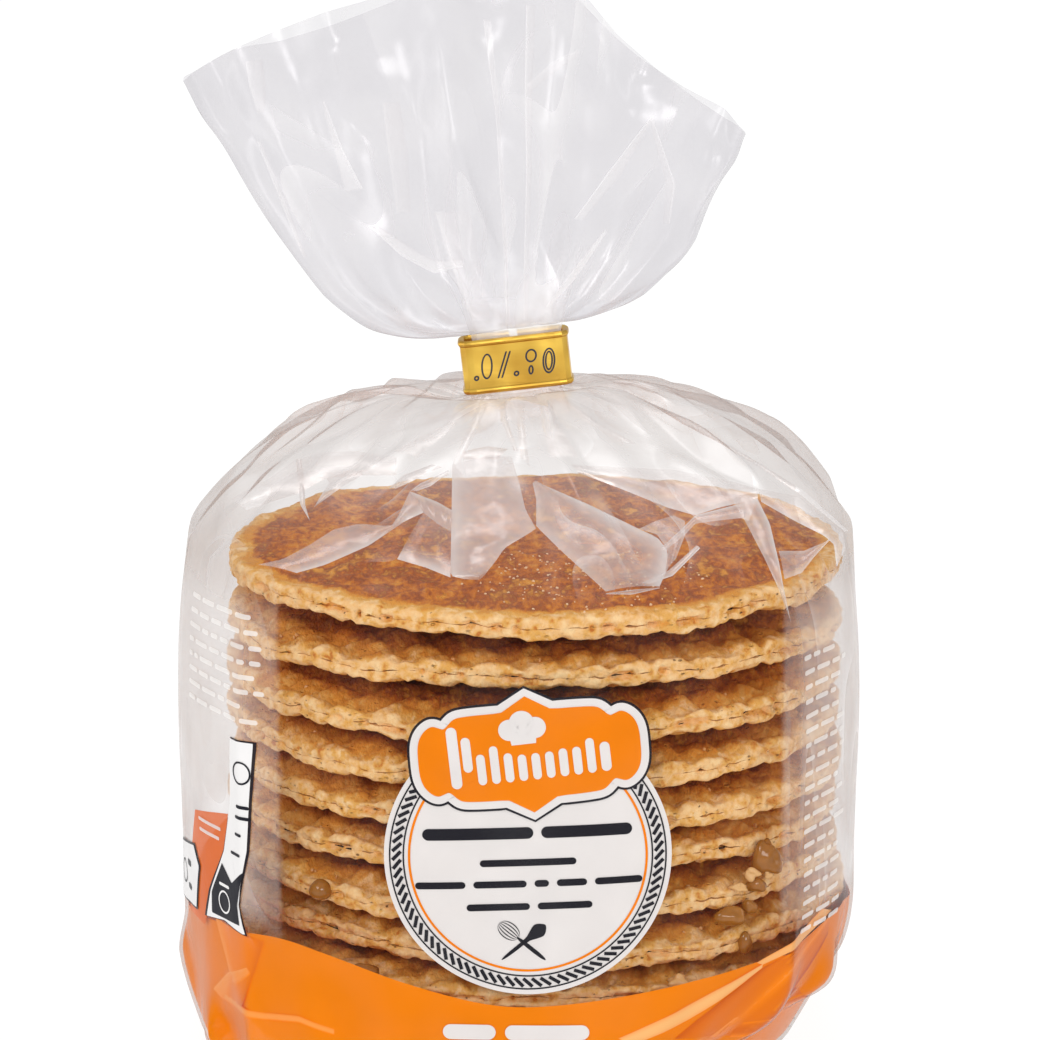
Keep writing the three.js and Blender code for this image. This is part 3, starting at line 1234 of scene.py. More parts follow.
@dataclass
class Neck:
    """The gathered film where the clip grips it, which opens into soft pleats below and above."""

    columns: int = 18
    # height, half width, half depth, and how gathered the film still is
    hoops: Rows = (
        (91.5, 8.2, 3.8, 0.6),
        (95.2, 6.4, 2.1, 1.0),
        (97.0, 6.2, 1.85, 1.0),
        (102.0, 6.2, 1.85, 1.0),
        (104.4, 6.8, 2.2, 0.95),
        (107.0, 7.4, 2.5, 0.7),
        (110.5, 8.4, 2.8, 0.4),
        (115.0, 10.6, 3.4, 0.0),
    )

    def build(self, finish: Material) -> Piece:
        """Makes the pleated tube from inside the shoulders up into the ruff.

        Args:
            finish: What it wears.

        Returns:
            The film.
        """
        rng = np.random.default_rng(17)
        angle = full_turn(self.columns)
        pleats = pleated(rng, self.columns, 0.4)
        rows = []
        for height, wide, deep, gather in self.hoops:
            fold = 1 + (0.05 + 0.08 * (1 - gather)) * pleats
            x = wide * signed_power(np.cos(angle), 0.6) * fold
            y = deep * signed_power(np.sin(angle), 0.6) * fold
            rows.append(np.stack([x - 0.3, y, height + x * NECK_RISE], axis=1))
        crumple = np.array([0.1 + 0.9 * (1 - h[3]) for h in self.hoops])
        film = FilmNet("film_neck", np.array(rows), crumple, 8).build()
        heights, gathers = np.array([(h[0], h[3]) for h in self.hoops]).T
        keep(film, "gather", np.interp(points_of(film)[:, 2], heights, gathers))
        film.visible_shadow = False
        hand_over(film, finish)
        return film


@dataclass
class FilmFold:
    """A fold of film between two edges, whiter where the film lies closer to itself, with painted
    highlight along its edges; on orange ink it carries painted shade and highlight instead.

    Points are X and Y on the slanting plane in which the folds inside the shoulders hang, or X, Y
    and Z. Where the fold lies on another piece's front, they are X and Z.
    """

    name: str
    first: Rows
    second: Rows
    veil_and_painted_light: tuple[float, float, float]  # how white it is at one edge, in the middle and at the other: the doubled film's own whiteness plus painted highlight; on orange ink, painted shade below 0.5 and painted highlight above
    belly: float = 0.6  # how far its middle hangs out
    steps: int = 28
    across: tuple[float, ...] = (0.0, 0.06, 0.16, 0.35, 0.6, 0.8, 0.93, 1.0)
    outwards: tuple[float, float, float] = (0.0, -0.87, 0.5)
    plane: tuple[float, float] = (95.1, 0.565)  # its height in the middle of the bag, and its slope
    lowest: float = 75.2  # just clear of the top waffle

    def hung(self, points: Rows, flat: bool) -> np.ndarray:
        """Gives an edge's points their heights, unless they are flat, and spreads them evenly."""
        if flat:
            return along(list(points), np.linspace(0, 1, self.steps))
        level, slope = self.plane
        placed = [
            (*q, max(level + slope * q[1], self.lowest)) if len(q) == 2 else q for q in points
        ]
        return along(placed, np.linspace(0, 1, self.steps))

    def build(
        self, finish: Material, film: "Surface | None" = None, lift: float = 0.2, slot: str = "film"
    ) -> None:
        """Makes the fold.

        Args:
            finish: What it wears.
            film: What it lies on, where its points are X and Z on another piece's front.
            lift: How far off that piece it lies.
            slot: Not used.
        """
        first, second = (self.hung(edge, film is not None) for edge in (self.first, self.second))
        across = np.array(self.across)
        # high values at the edges paint highlight along the fold; on orange ink low values paint
        # shade and high ones highlight
        edge, middle, other = self.veil_and_painted_light
        veil_and_painted_light = np.where(across < 0.5, edge, other)
        near = np.minimum(across, 1 - across)
        veil_and_painted_light = middle + (veil_and_painted_light - middle) * smoothstep(0.3, 0.0, near)
        rng = np.random.default_rng(sum(map(ord, self.name)))
        ripple = 0.25 * along(list(rng.normal(0, 1, (9, 1))), np.linspace(0, 1, self.steps))
        swell = self.belly * np.sin(np.pi * across)[:, None] * (1 + ripple[None, :, 0])
        points = first[None] * (1 - across[:, None, None]) + second[None] * across[:, None, None]
        if film is None:
            points = points + swell[..., None] * np.array(self.outwards)
        else:
            points = film.from_front(points.reshape(-1, 2), lift)
        faces = []
        for i, j in itertools.product(range(len(across) - 1), range(self.steps - 1)):
            a, b = i * self.steps + j, (i + 1) * self.steps + j
            faces.append((a, a + 1, b + 1, b))
        piece = new_piece(self.name, points.reshape(-1, 3), faces)
        keep(piece, "gather", np.repeat(veil_and_painted_light, self.steps))
        piece.visible_shadow = False
        hand_over(piece, finish)


def numbered_folds(stem: str, rows: tuple, **sizes: float) -> tuple[FilmFold, ...]:
    """Turns a table into folds, each row with a fold's two edges and how white it is, painted
    highlight included.
    """
    return tuple(FilmFold(f"{stem}_{i}", *row, **sizes) for i, row in enumerate(rows, 1))


# pleats under the clip, white as tightly folded film, with painted highlight streaks along them
NECK_FOLDS = numbered_folds(
    "neck_fold",
    (
        (
            ((-6.4, -1), (-11, -7), (-18, -12)),
            ((-5.6, -1), (-9.5, -7.5), (-14.5, -13)),
            (0.7, 0.25, 0.6),
        ),
        (
            ((-5.2, -1), (-7.5, -8), (-9.5, -14.5)),
            ((-4.0, -1), (-6.0, -8), (-8.4, -14)),
            (0.9, 0.5, 0.8),
        ),
        (
            ((-3.0, -1), (-2.6, -6), (-0.6, -12)),
            ((-2.2, -1), (-1.6, -6), (-0.1, -12)),
            (0.95, 0.8, 0.9),
        ),
        (((0.0, -1), (-0.2, -7), (0.2, -13)), ((1.0, -1), (0.8, -7), (1.6, -15)), (0.95, 0.6, 0.9)),
        (((2.8, -1), (3.4, -7), (4.6, -13)), ((4.6, -1), (6.0, -7), (8.6, -13)), (0.85, 0.35, 0.6)),
        (
            ((5.6, -1), (9.5, -6), (15.0, -10.5)),
            ((6.3, -1), (11.0, -6), (17.0, -10.5)),
            (0.9, 0.3, 0.4),
        ),
    ),
    belly=0.3,
)
# folds of film inside the shoulders: whiter as doubled film, with painted highlight along their
# edges
SHOULDER_FOLDS = (
    FilmFold(
        "fold_tongue",
        ((-9.5, -14.5), (-9.5, -23), (-9.5, -35), (-7.5, -36.5), (-5.5, -37)),
        (
            (-1, -13),
            (0, -17.5),
            (1, -23),
            (2.5, -26.5),
            (-2, -30),
            (-3, -32),
            (-5, -35.5),
            (-5.5, -37),
        ),
        (0.8, 0.46, 0.52),
        1.4,
    ),
    FilmFold(
        "fold_wing",
        ((-31, -34.5), (-27, -33), (-21, -29.5), (-16, -25), (-13.5, -23.5)),
        (
            (-36.5, -33),
            (-33, -32),
            (-29.5, -29.5),
            (-26, -26.5),
            (-22.5, -25.5),
            (-18, -26),
            (-17, -24),
            (-15.5, -19.5),
        ),
        (0.85, 0.4, 0.4),
    ),
    FilmFold(
        "fold_wing_top",
        ((-15.5, -19.5), (-11.5, -21.5), (-9.5, -23)),
        ((-13.5, -23.5), (-11.5, -25.5), (-9.5, -27)),
        (
            0.8, 0.45, 0.4
        ),
    ),
    FilmFold(
        "fold_under_wing",
        ((-17, -32), (-13, -33.5), (-9.5, -35.5)),
        ((-13.5, -23.5), (-9.5, -27)),
        (0.75, 0.15, 0.15),
    ),
    FilmFold(
        "fold_hook",
        ((-32, -13.5), (-31.5, -17.5), (-31, -22), (-29.5, -25)),
        ((-31.2, -13.5), (-30.6, -17.5), (-30.3, -22), (-29.5, -25)),
        (0.9, 0.7, 0.9),
        0.2,
    ),
    FilmFold(
        "fold_barb",
        ((-21.5, -15.5), (-23, -17), (-25, -18.5), (-29, -22.5)),
        ((-28, -16), (-27, -18), (-28, -20), (-29, -22.5)),
        (0.6, 0.5, 0.85),
        0.3,
    ),
    FilmFold(
        "fold_back_left",
        ((-38.5, -23), (-34, -21), (-31.5, -20), (-27.5, -17), (-22.5, -16.5), (-17.5, -16.5)),
        ((-41, -21), (-35.5, -17), (-32, -13.5), (-27.5, -12), (-23, -12), (-17.5, -13)),
        (0.8, 0.4, 0.05),
    ),
    FilmFold(
        "fold_brush",
        ((-18.5, -19), (-16.5, -16.5), (-14.5, -15.5), (-12.5, -14.5)),
        ((-17.5, -19), (-15, -17.5), (-13, -16), (-11, -15)),
        (0.85, 0.5, 0.85),
        0.3,
    ),
    FilmFold(
        "fold_brush_low",
        ((-15.5, -19.5), (-14, -18), (-11.5, -16.5), (-10, -15.5)),
        ((-14.5, -19.5), (-12.5, -18.5), (-11, -17), (-10, -16.5)),
        (0.7, 0.4, 0.8),
        0.3,
    ),
    FilmFold(
        "fold_flap",
        ((-8, -12), (-4.5, -11), (-1.5, -11.5)),
        ((-8, -13.5), (-5.5, -13.5), (-3, -13.5)),
        (0.95, 0.7, 0.95),
        0.3,
    ),
    FilmFold(
        "fold_right",
        ((3, -18), (10, -22), (17, -26.5), (19.5, -28), (21, -30.5), (20.5, -34.5), (19.5, -41)),
        ((2, -18), (2.5, -21), (2.5, -26), (6, -30.5), (8.5, -33.5), (12, -44)),
        (0.85, 0.33, 0.6),
        1.2,
    ),
    FilmFold(
        "fold_right_side",
        ((17, -26.5), (19.5, -27.5), (21, -30.5), (20.5, -34.5)),
        ((22, -24), (23.5, -25), (23.5, -27.5), (22, -32)),
        (0.45, 0.3, 0.5),
    ),
    FilmFold(
        "fold_right_mouth",
        ((12, -45), (15.5, -43), (19.5, -41.5)),
        ((12, -45.5), (15.5, -45.8), (19.5, -42)),
        (0.95, 0.4, 0.95),
        0.1,
    ),
    FilmFold(
        "fold_right_tail",
        ((25, -29.5), (21, -34), (17, -39)),
        ((25.5, -30), (21.5, -35), (18, -39.5)),
        (0.6, 0.5, 0.9),
        0.2,
    ),
    FilmFold(
        "fold_back_right",
        ((8.5, -16), (14.5, -19), (21, -22.5), (25, -24), (28.5, -22.5), (34, -21)),
        ((7.5, -14.5), (14.5, -15), (22.5, -15.5), (26, -16.5), (30, -17.5), (34, -19)),
        (0.8, 0.45, 0.15),
    ),
    FilmFold(
        "fold_curved",
        ((20, -30), (23, -26.5), (25, -24), (29.5, -22.5), (34, -21)),
        ((20.5, -30.5), (23.5, -27.5), (25, -25.5), (28, -25), (31.5, -24.5), (32.5, -25)),
        (0.9, 0.4, 0.45),
        0.3,
    ),
    FilmFold(
        "fold_spike",
        ((34, -21), (35.5, -25.5), (36.5, -33), (37, -36, 73.5), (38, -36.5, 69)),
        ((29.5, -19), (32, -25), (34.5, -32), (36.3, -36, 73.5), (38, -36.5, 69)),
        (0.95, 0.45, 0.55),
        0.4,
    ),
    FilmFold(
        "fold_far_right",
        ((37, -36.5), (39.5, -34.5), (41.5, -31.5), (43.8, -28.5)),
        ((36.5, -30.5), (40, -30.5), (43.8, -28.5)),
        (
            0.55, 0.3, 0.55
        ),
    ),
    FilmFold(
        "fold_shoulder_right",
        ((34.5, -21.5), (39, -25), (43, -28, 79.5), (44.5, -27, 78), (45, -26, 74.5)),
        ((34, -19), (40, -20.5), (44, -25, 80.5), (46, -23, 79), (46.6, -21, 76)),
        (0.8, 0.4, 0.2),
        0.4,
    ),
    FilmFold(
        "fold_crease_right",
        ((28.5, -10), (34.5, -15), (40, -20), (46.5, -21, 78.5)),
        ((29, -9.8), (35, -14.6), (40.6, -19.4), (47, -20.4, 78.5)),
        (0.8, 0.6, 0.8),
        0.1,
    ),
)
# painted highlight streaks laid on the ruff's front along its creases
RUFF_FOLDS = numbered_folds(
    "ruff_fold",
    (
        (
            ((-5.0, 150), (-3.2, 136), (-2.2, 118), (-1.8, 105.5)),
            ((-4.0, 150), (-2.6, 136), (-1.7, 118), (-1.2, 105.5)),
            (0.6, 0.2, 0.5),
        ),
        (
            ((1.1, 152), (0.9, 140), (1.1, 128), (0.6, 106)),
            ((2.4, 152), (2.0, 140), (1.9, 128), (1.4, 106)),
            (0.7, 0.2, 0.0),
        ),
        (
            ((4.4, 108), (8.0, 112), (12.7, 119)),
            ((4.0, 108), (7.2, 112.8), (12.4, 119.4)),
            (0.7, 0.6, 0.5),
        ),
        (
            ((19.2, 136), (13.0, 128), (8.0, 121)),
            ((19.0, 135), (14.5, 127), (9.4, 121)),
            (0.7, 0.3, 0.1),
        ),
        (
            ((19.2, 135.5), (22.5, 126), (21.8, 120)),
            ((19.0, 134), (21.2, 126), (20.8, 120)),
            (0.6, 0.2, 0.1),
        ),
        (
            ((-28.1, 138), (-26.4, 131), (-24.9, 125)),
            ((-27.8, 138), (-25.2, 131), (-22.4, 125.4)),
            (0.35, 0.4, 0.7),
        ),
        (
            ((-37.6, 132), (-34.2, 123), (-31.2, 115)),
            ((-37.0, 132), (-33.4, 123), (-30.6, 115)),
            (0.6, 0.3, 0.0),
        ),
        (
            ((-21.2, 119.7), (-17.1, 115.6), (-12.2, 113), (-8.0, 114)),
            ((-20, 119.7), (-16, 117.2), (-12.2, 115), (-8.0, 115)),
            (0.7, 0.5, 0.1),
        ),
        (
            ((-19.4, 138), (-18.6, 130), (-17.5, 122)),
            ((-17.0, 138), (-15.8, 130), (-15.5, 122)),
            (0.35, 0.15, 0.0),
        ),
        (
            ((1.1, 140.5), (4.6, 143.5), (8.5, 145.4)),
            ((1.1, 139), (4.8, 142), (8.7, 144.6)),
            (0.5, 0.2, 0.0),
        ),
        (
            ((-39.1, 143.5), (-38.6, 140), (-37.5, 136)),
            ((-36.6, 144), (-36.2, 140), (-36.5, 136)),
            (0.5, 0.2, 0.0),
        ),
        (((-6.5, 106), (-9, 112), (-12, 122)), ((-4, 106), (-5, 112), (-7, 122)), (0.5, 0.2, 0.1)),
    ),
)
# orange patches on the foot's creases, painted with their shade and highlight
FOOT_FOLDS = (
    FilmFold(
        "foot_fold_bright",
        ((34.5, 20.0), (27.5, 17.3), (22.0, 14.8), (18.0, 13.2), (14.0, 11.5)),
        ((34.4, 19.4), (28.5, 15.8), (24.0, 13.4), (20.6, 12.0), (16.0, 10.4)),
        (0.75, 0.95, 0.8),
    ),
    FilmFold(
        "foot_fold_dark",
        ((34.6, 19.4), (29.0, 15.8), (25.0, 13.0), (22.0, 10.5)),
        ((44.5, 23.2), (38.0, 17.7), (33.0, 13.0), (30.0, 9.5)),
        (0.1, 0.3, 0.48),
    ),
    FilmFold(
        "foot_fold_corner",
        ((44.8, 23.4), (37.5, 17.5), (31.0, 12.5), (27.0, 9.5)),
        ((44.5, 20.5), (41.7, 16.5), (38.3, 12.0), (34.0, 8.0)),
        (0.62, 0.3, 0.0),
    ),
    FilmFold(
        "foot_fold_lip",
        ((45.0, 24.0), (40.0, 21.6), (34.5, 19.9)),
        ((43.4, 25.2), (38.5, 22.4), (33.6, 20.4)),
        (0.85, 0.9, 0.7),
    ),
    FilmFold(
        "foot_fold_low",
        ((42.0, 10.0), (36.0, 8.0), (30.0, 8.6)),
        ((40.0, 13.0), (36.0, 11.0), (31.0, 11.0)),
        (0.55, 0.2, 0.45),
    ),
    FilmFold(
        "foot_fold_left",
        ((-36, 23), (-37.3, 18.5), (-39.5, 12.5)),
        ((-43.4, 24.0), (-41.3, 16.7), (-42.3, 12.5)),
        (0.25, 0.42, 0.62),
    ),
    FilmFold(
        "foot_fold_left_light",
        ((-38.6, 18.6), (-41.5, 16.5), (-44, 12.5)),
        ((-38, 17.8), (-40.5, 15), (-42.5, 11.5)),
        (
            0.7, 0.62, 0.5
        ),
    ),
    FilmFold(
        "foot_fold_left_low",
        ((-42, 12.8), (-36, 12.4), (-31, 13.0), (-26, 11.5)),
        ((-42.5, 11.6), (-36, 11.4), (-31, 12.0), (-26, 10.6)),
        (0.56, 0.66, 0.5),
    ),
)


# ---------------------------------------------------------------- print


def node_group(name: str, sizes: dict[str, str]) -> tuple[Tree, bpy.types.Node]:
    """Starts a Geometry Nodes tree with a geometry going in and out.

    Args:
        name: The tree's name.
        sizes: The other inputs' names, each with its socket type.

    Returns:
        The tree and its input node.
    """
    tree = bpy.data.node_groups.new(name, "GeometryNodeTree")
    tree.interface.new_socket("Geometry", in_out="INPUT", socket_type="NodeSocketGeometry")
    tree.interface.new_socket("Geometry", in_out="OUTPUT", socket_type="NodeSocketGeometry")
    for label, kind in sizes.items():
        tree.interface.new_socket(label, in_out="INPUT", socket_type=kind)
    return tree, tree.nodes.new("NodeGroupInput")


def end_group(tree: Tree, instances: Socket, material: Socket) -> None:
    """Ends a tree: the instances become real, and wear the material."""
    real = node(tree, "GeometryNodeRealizeInstances", {"Geometry": instances}).outputs[0]
    worn = {"Geometry": real, "Material": material}
    dressed = node(tree, "GeometryNodeSetMaterial", worn).outputs[
        0
    ]
    node(tree, "NodeGroupOutput", {0: dressed})


def grow(piece: Piece, tree: Tree, **values: object) -> Piece:
    """Runs a tree on a piece and leaves a plain mesh.

    Args:
        piece: The piece that the tree reads.
        tree: The Geometry Nodes tree.
        **values: Its inputs, with underscores for the spaces in their names.

    Returns:
        The same piece with its new mesh.
    """
    modifier = piece.modifiers.new(tree.name, "NODES")
    modifier.node_group = tree
    for item in tree.interface.items_tree:
        key = item.name.replace(" ", "_").lower()
        if item.in_out == "INPUT" and key in values:
            modifier[item.identifier] = values[key]
    return settle(piece)


def tick_ring_tree() -> Tree:
    """Builds the tree that sets slanted ticks round a circle, as on a printed rope border."""
    sizes = {"Count": "NodeSocketInt", "Radius": "NodeSocketFloat", "Length": "NodeSocketFloat"}
    sizes |= {
        "Width": "NodeSocketFloat", "Slant": "NodeSocketFloat", "Material": "NodeSocketMaterial"
    }
    tree, given = node_group("rope ticks", sizes)
    out = given.outputs
    round_about = {"Vertices": out["Count"], "Radius": out["Radius"]}
    points = node(tree, "GeometryNodeMeshCircle", round_about).outputs[0]
    size = {"Size X": out["Length"], "Size Y": out["Width"], "Vertices X": 4, "Vertices Y": 2}
    tick = node(tree, "GeometryNodeMeshGrid", size).outputs[0]
    index = node(tree, "GeometryNodeInputIndex").outputs[0]
    step = calculate(tree, "DIVIDE", 2 * math.pi, out["Count"])
    turn = calculate(tree, "MULTIPLY_ADD", index, step, out["Slant"])
    euler = node(tree, "ShaderNodeCombineXYZ", {"Z": turn}).outputs[0]
    rotation = node(tree, "FunctionNodeEulerToRotation", {0: euler}).outputs[0]
    laid = {"Points": points, "Instance": tick, "Rotation": rotation}
    end_group(tree, node(tree, "GeometryNodeInstanceOnPoints", laid).outputs[0], out["Material"])
    return tree


def strewing_tree() -> Tree:
    """Builds the tree that strews small broken grains over a patch."""
    sizes = {
        "Per square metre": "NodeSocketFloat", "Grain": "NodeSocketFloat", "Seed": "NodeSocketInt"
    }
    tree, given = node_group("strewn grains", sizes | {"Material": "NodeSocketMaterial"})
    out = given.outputs
    spots = {"Mesh": out["Geometry"], "Density": out["Per square metre"], "Seed": out["Seed"]}
    points = node(tree, "GeometryNodeDistributePointsOnFaces", spots).outputs["Points"]
    grain = node(tree, "GeometryNodeMeshIcoSphere", {"Radius": 0.5, "Subdivisions": 1}).outputs[0]
    spread = {0: (0.35, 0.35, 0.3), 1: (1.0, 0.9, 0.7), "Seed": out["Seed"]}
    shape = node(tree, "FunctionNodeRandomValue", spread, data_type="FLOAT_VECTOR").outputs[0]
    scale = reckon(tree, "SCALE", {0: shape, "Scale": out["Grain"]})
    any_turn = {1: (6.3, 6.3, 6.3), "Seed": 3}
    turns = node(tree, "FunctionNodeRandomValue", any_turn, data_type="FLOAT_VECTOR").outputs[0]
    rotation = node(tree, "FunctionNodeEulerToRotation", {0: turns}).outputs[0]
    laid = {"Points": points, "Instance": grain, "Rotation": rotation, "Scale": scale}
    end_group(tree, node(tree, "GeometryNodeInstanceOnPoints", laid).outputs[0], out["Material"])
    return tree


class Surface:
    """A finished piece that flat shapes are laid on."""

    reach = 200.0  # how far a line goes, in millimetres: it stops in the middle of the bag
    inside = 150.0  # where on a line that misses the nearest point is looked for
    above = 120.0  # the height from which lines go down

    def __init__(self, piece: Piece) -> None:
        """Sorts the piece's faces for quick searching."""
        self.tree = BVHTree.FromObject(piece, bpy.context.evaluated_depsgraph_get())

    def hit(self, start: Vector, way: Vector, lift: float) -> tuple[float, float, float]:
        """Finds where a line meets the surface first, lifted back towards the start.

        Args:
            start: Where the line begins, in millimetres.
            way: Its direction.
            lift: How far off the surface the point lies, in millimetres.

        Returns:
            The point, or the surface's nearest one if the line misses.
        """
        place = self.tree.ray_cast(start * MM, way, self.reach * MM)[0]
        if place is None:
            place = self.tree.find_nearest((start + way * self.inside) * MM)[0]
        return tuple(place / MM - way * lift)

    def from_front(self, flat: np.ndarray, lift: float) -> np.ndarray:
        """Lays points given as X and Z onto the front."""
        return np.array(
            [self.hit(Vector((x, -self.reach, z)), Vector((0, 1, 0)), lift) for x, z in flat]
        )

    def from_round(self, turned: np.ndarray, lift: float) -> np.ndarray:
        """Lays points given as an angle in degrees and a height onto the sides."""
        laid = []
        for angle, z in turned:
            way = Vector((math.cos(math.radians(angle)), math.sin(math.radians(angle)), 0))
            laid.append(self.hit(way * self.reach + Vector((0, 0, z)), -way, lift))
        return np.array(laid)

    def from_above(self, flat: np.ndarray, lift: float) -> np.ndarray:
        """Lays points given as X and Y onto the top."""
        return np.array(
            [self.hit(Vector((x, y, self.above)), Vector((0, 0, -1)), lift) for x, y in flat]
        )


def circle(radius: float, columns: int = 144, at: tuple[float, float] = (0, 0)) -> np.ndarray:
    """Gives the points of a circle, anticlockwise."""
    angle = full_turn(columns)
    return np.stack([at[0] + radius * np.cos(angle), at[1] + radius * np.sin(angle)], axis=1)


def widened(outline: np.ndarray, by: float) -> np.ndarray:
    """Moves a closed outline outwards by a distance."""
    ahead = np.roll(outline, -1, axis=0) - np.roll(outline, 1, axis=0)
    normal = np.stack([ahead[:, 1], -ahead[:, 0]], axis=1)
    return outline + by * normal / np.linalg.norm(normal, axis=1, keepdims=True)


def shrunk(outline: np.ndarray, share: float | np.ndarray) -> np.ndarray:
    """Shrinks an outline towards its middle."""
    return outline.mean(axis=0) + (outline - outline.mean(axis=0)) * share


def filled(outline: np.ndarray, rows: int = 10, hole: np.ndarray | None = None) -> Shape:
    """Fills an outline with quads, down to its middle or to an inner outline.

    Args:
        outline: The closed outline, anticlockwise.
        rows: How many rows of quads there are.
        hole: The inner outline, or None to fill to the middle.

    Returns:
        Flat points and faces.
    """
    inner = shrunk(outline, 0.02) if hole is None else hole
    shares = np.linspace(0, 1, rows + 1)[:, None, None]
    points = (outline[None] * (1 - shares) + inner[None] * shares).reshape(-1, 2)
    faces = ring_faces(rows + 1, len(outline))
    if hole is None:
        faces.append(tuple(rows * len(outline) + j for j in range(len(outline))))
    return points, faces


def bar(at: tuple[float, float], length: float, height: float) -> Shape:
    """Makes a round-ended bar, which stands for a printed word."""
    columns = max(6, round(length / 0.6))
    x = -np.cos(np.linspace(0, np.pi, 2 * columns)) * length / 2
    over = np.maximum(np.abs(x) - (length - height) / 2, 0)
    half = np.sqrt(np.maximum((height / 2) ** 2 - over**2, 1e-4))
    points = np.concatenate(
        [np.stack([at[0] + x, at[1] + side * half], axis=1) for side in (-1, 1)]
    )
    n = len(x)
    return points, [(i, i + 1, n + i + 1, n + i) for i in range(n - 1)]


def joined(shapes: list[Shape]) -> Shape:
    """Puts several shapes into one set of points and faces."""
    points, faces, start = [], [], 0
    for own_points, own_faces in shapes:
        points.append(own_points)
        faces += [tuple(i + start for i in f) for f in own_faces]
        start += len(own_points)
    return np.vstack(points), faces


class Inks:
    """The colours that the film is printed in, each with a slot name."""

    def __init__(self) -> None:
        """Mixes the inks."""
        self.orange = (FilmInk("orange film ink", "#ff8b00").build(), "print_orange")
        self.white = (FilmInk("white film ink", "#f3f1f0", 0.97).build(), "print_white")
        self.dark = (FilmInk("dark film ink", "#22222a").build(), "print_dark")
        self.thin_orange = (
            FilmInk("thin orange film ink", "#e5702f", 0.85).build(), "print_orange"
        )
        self.faint = (FilmInk("thin white film ink", "#fbf8f5", 0.62).build(), "print_white")


@dataclass
class Print:
    """What is printed on the film's inner side, in layers of ink."""

    film: Surface
    inks: Inks
    step: float = 0.06  # each layer of ink lies this much closer to the film
    deepest: float = 0.5  # how far inside the film the first layer lies

    def depth(self, layer: int) -> float:
        """Gives how far off the film a layer lies, below zero because that is inside."""
        return self.step * layer - self.deepest

    def put(self, parts: list[tuple], turned: bool = False) -> None:
        """Prints shapes in their order.

        Args:
            parts: Each shape's name, flat points and faces, layer and ink.
            turned: Whether the points are angles and heights, and not X and Z.
        """
        lay_on = self.film.from_round if turned else self.film.from_front
        for name, (points, faces), layer, (finish, slot) in parts:
            hand_over(new_piece(name, lay_on(points, self.depth(layer)), faces), finish)


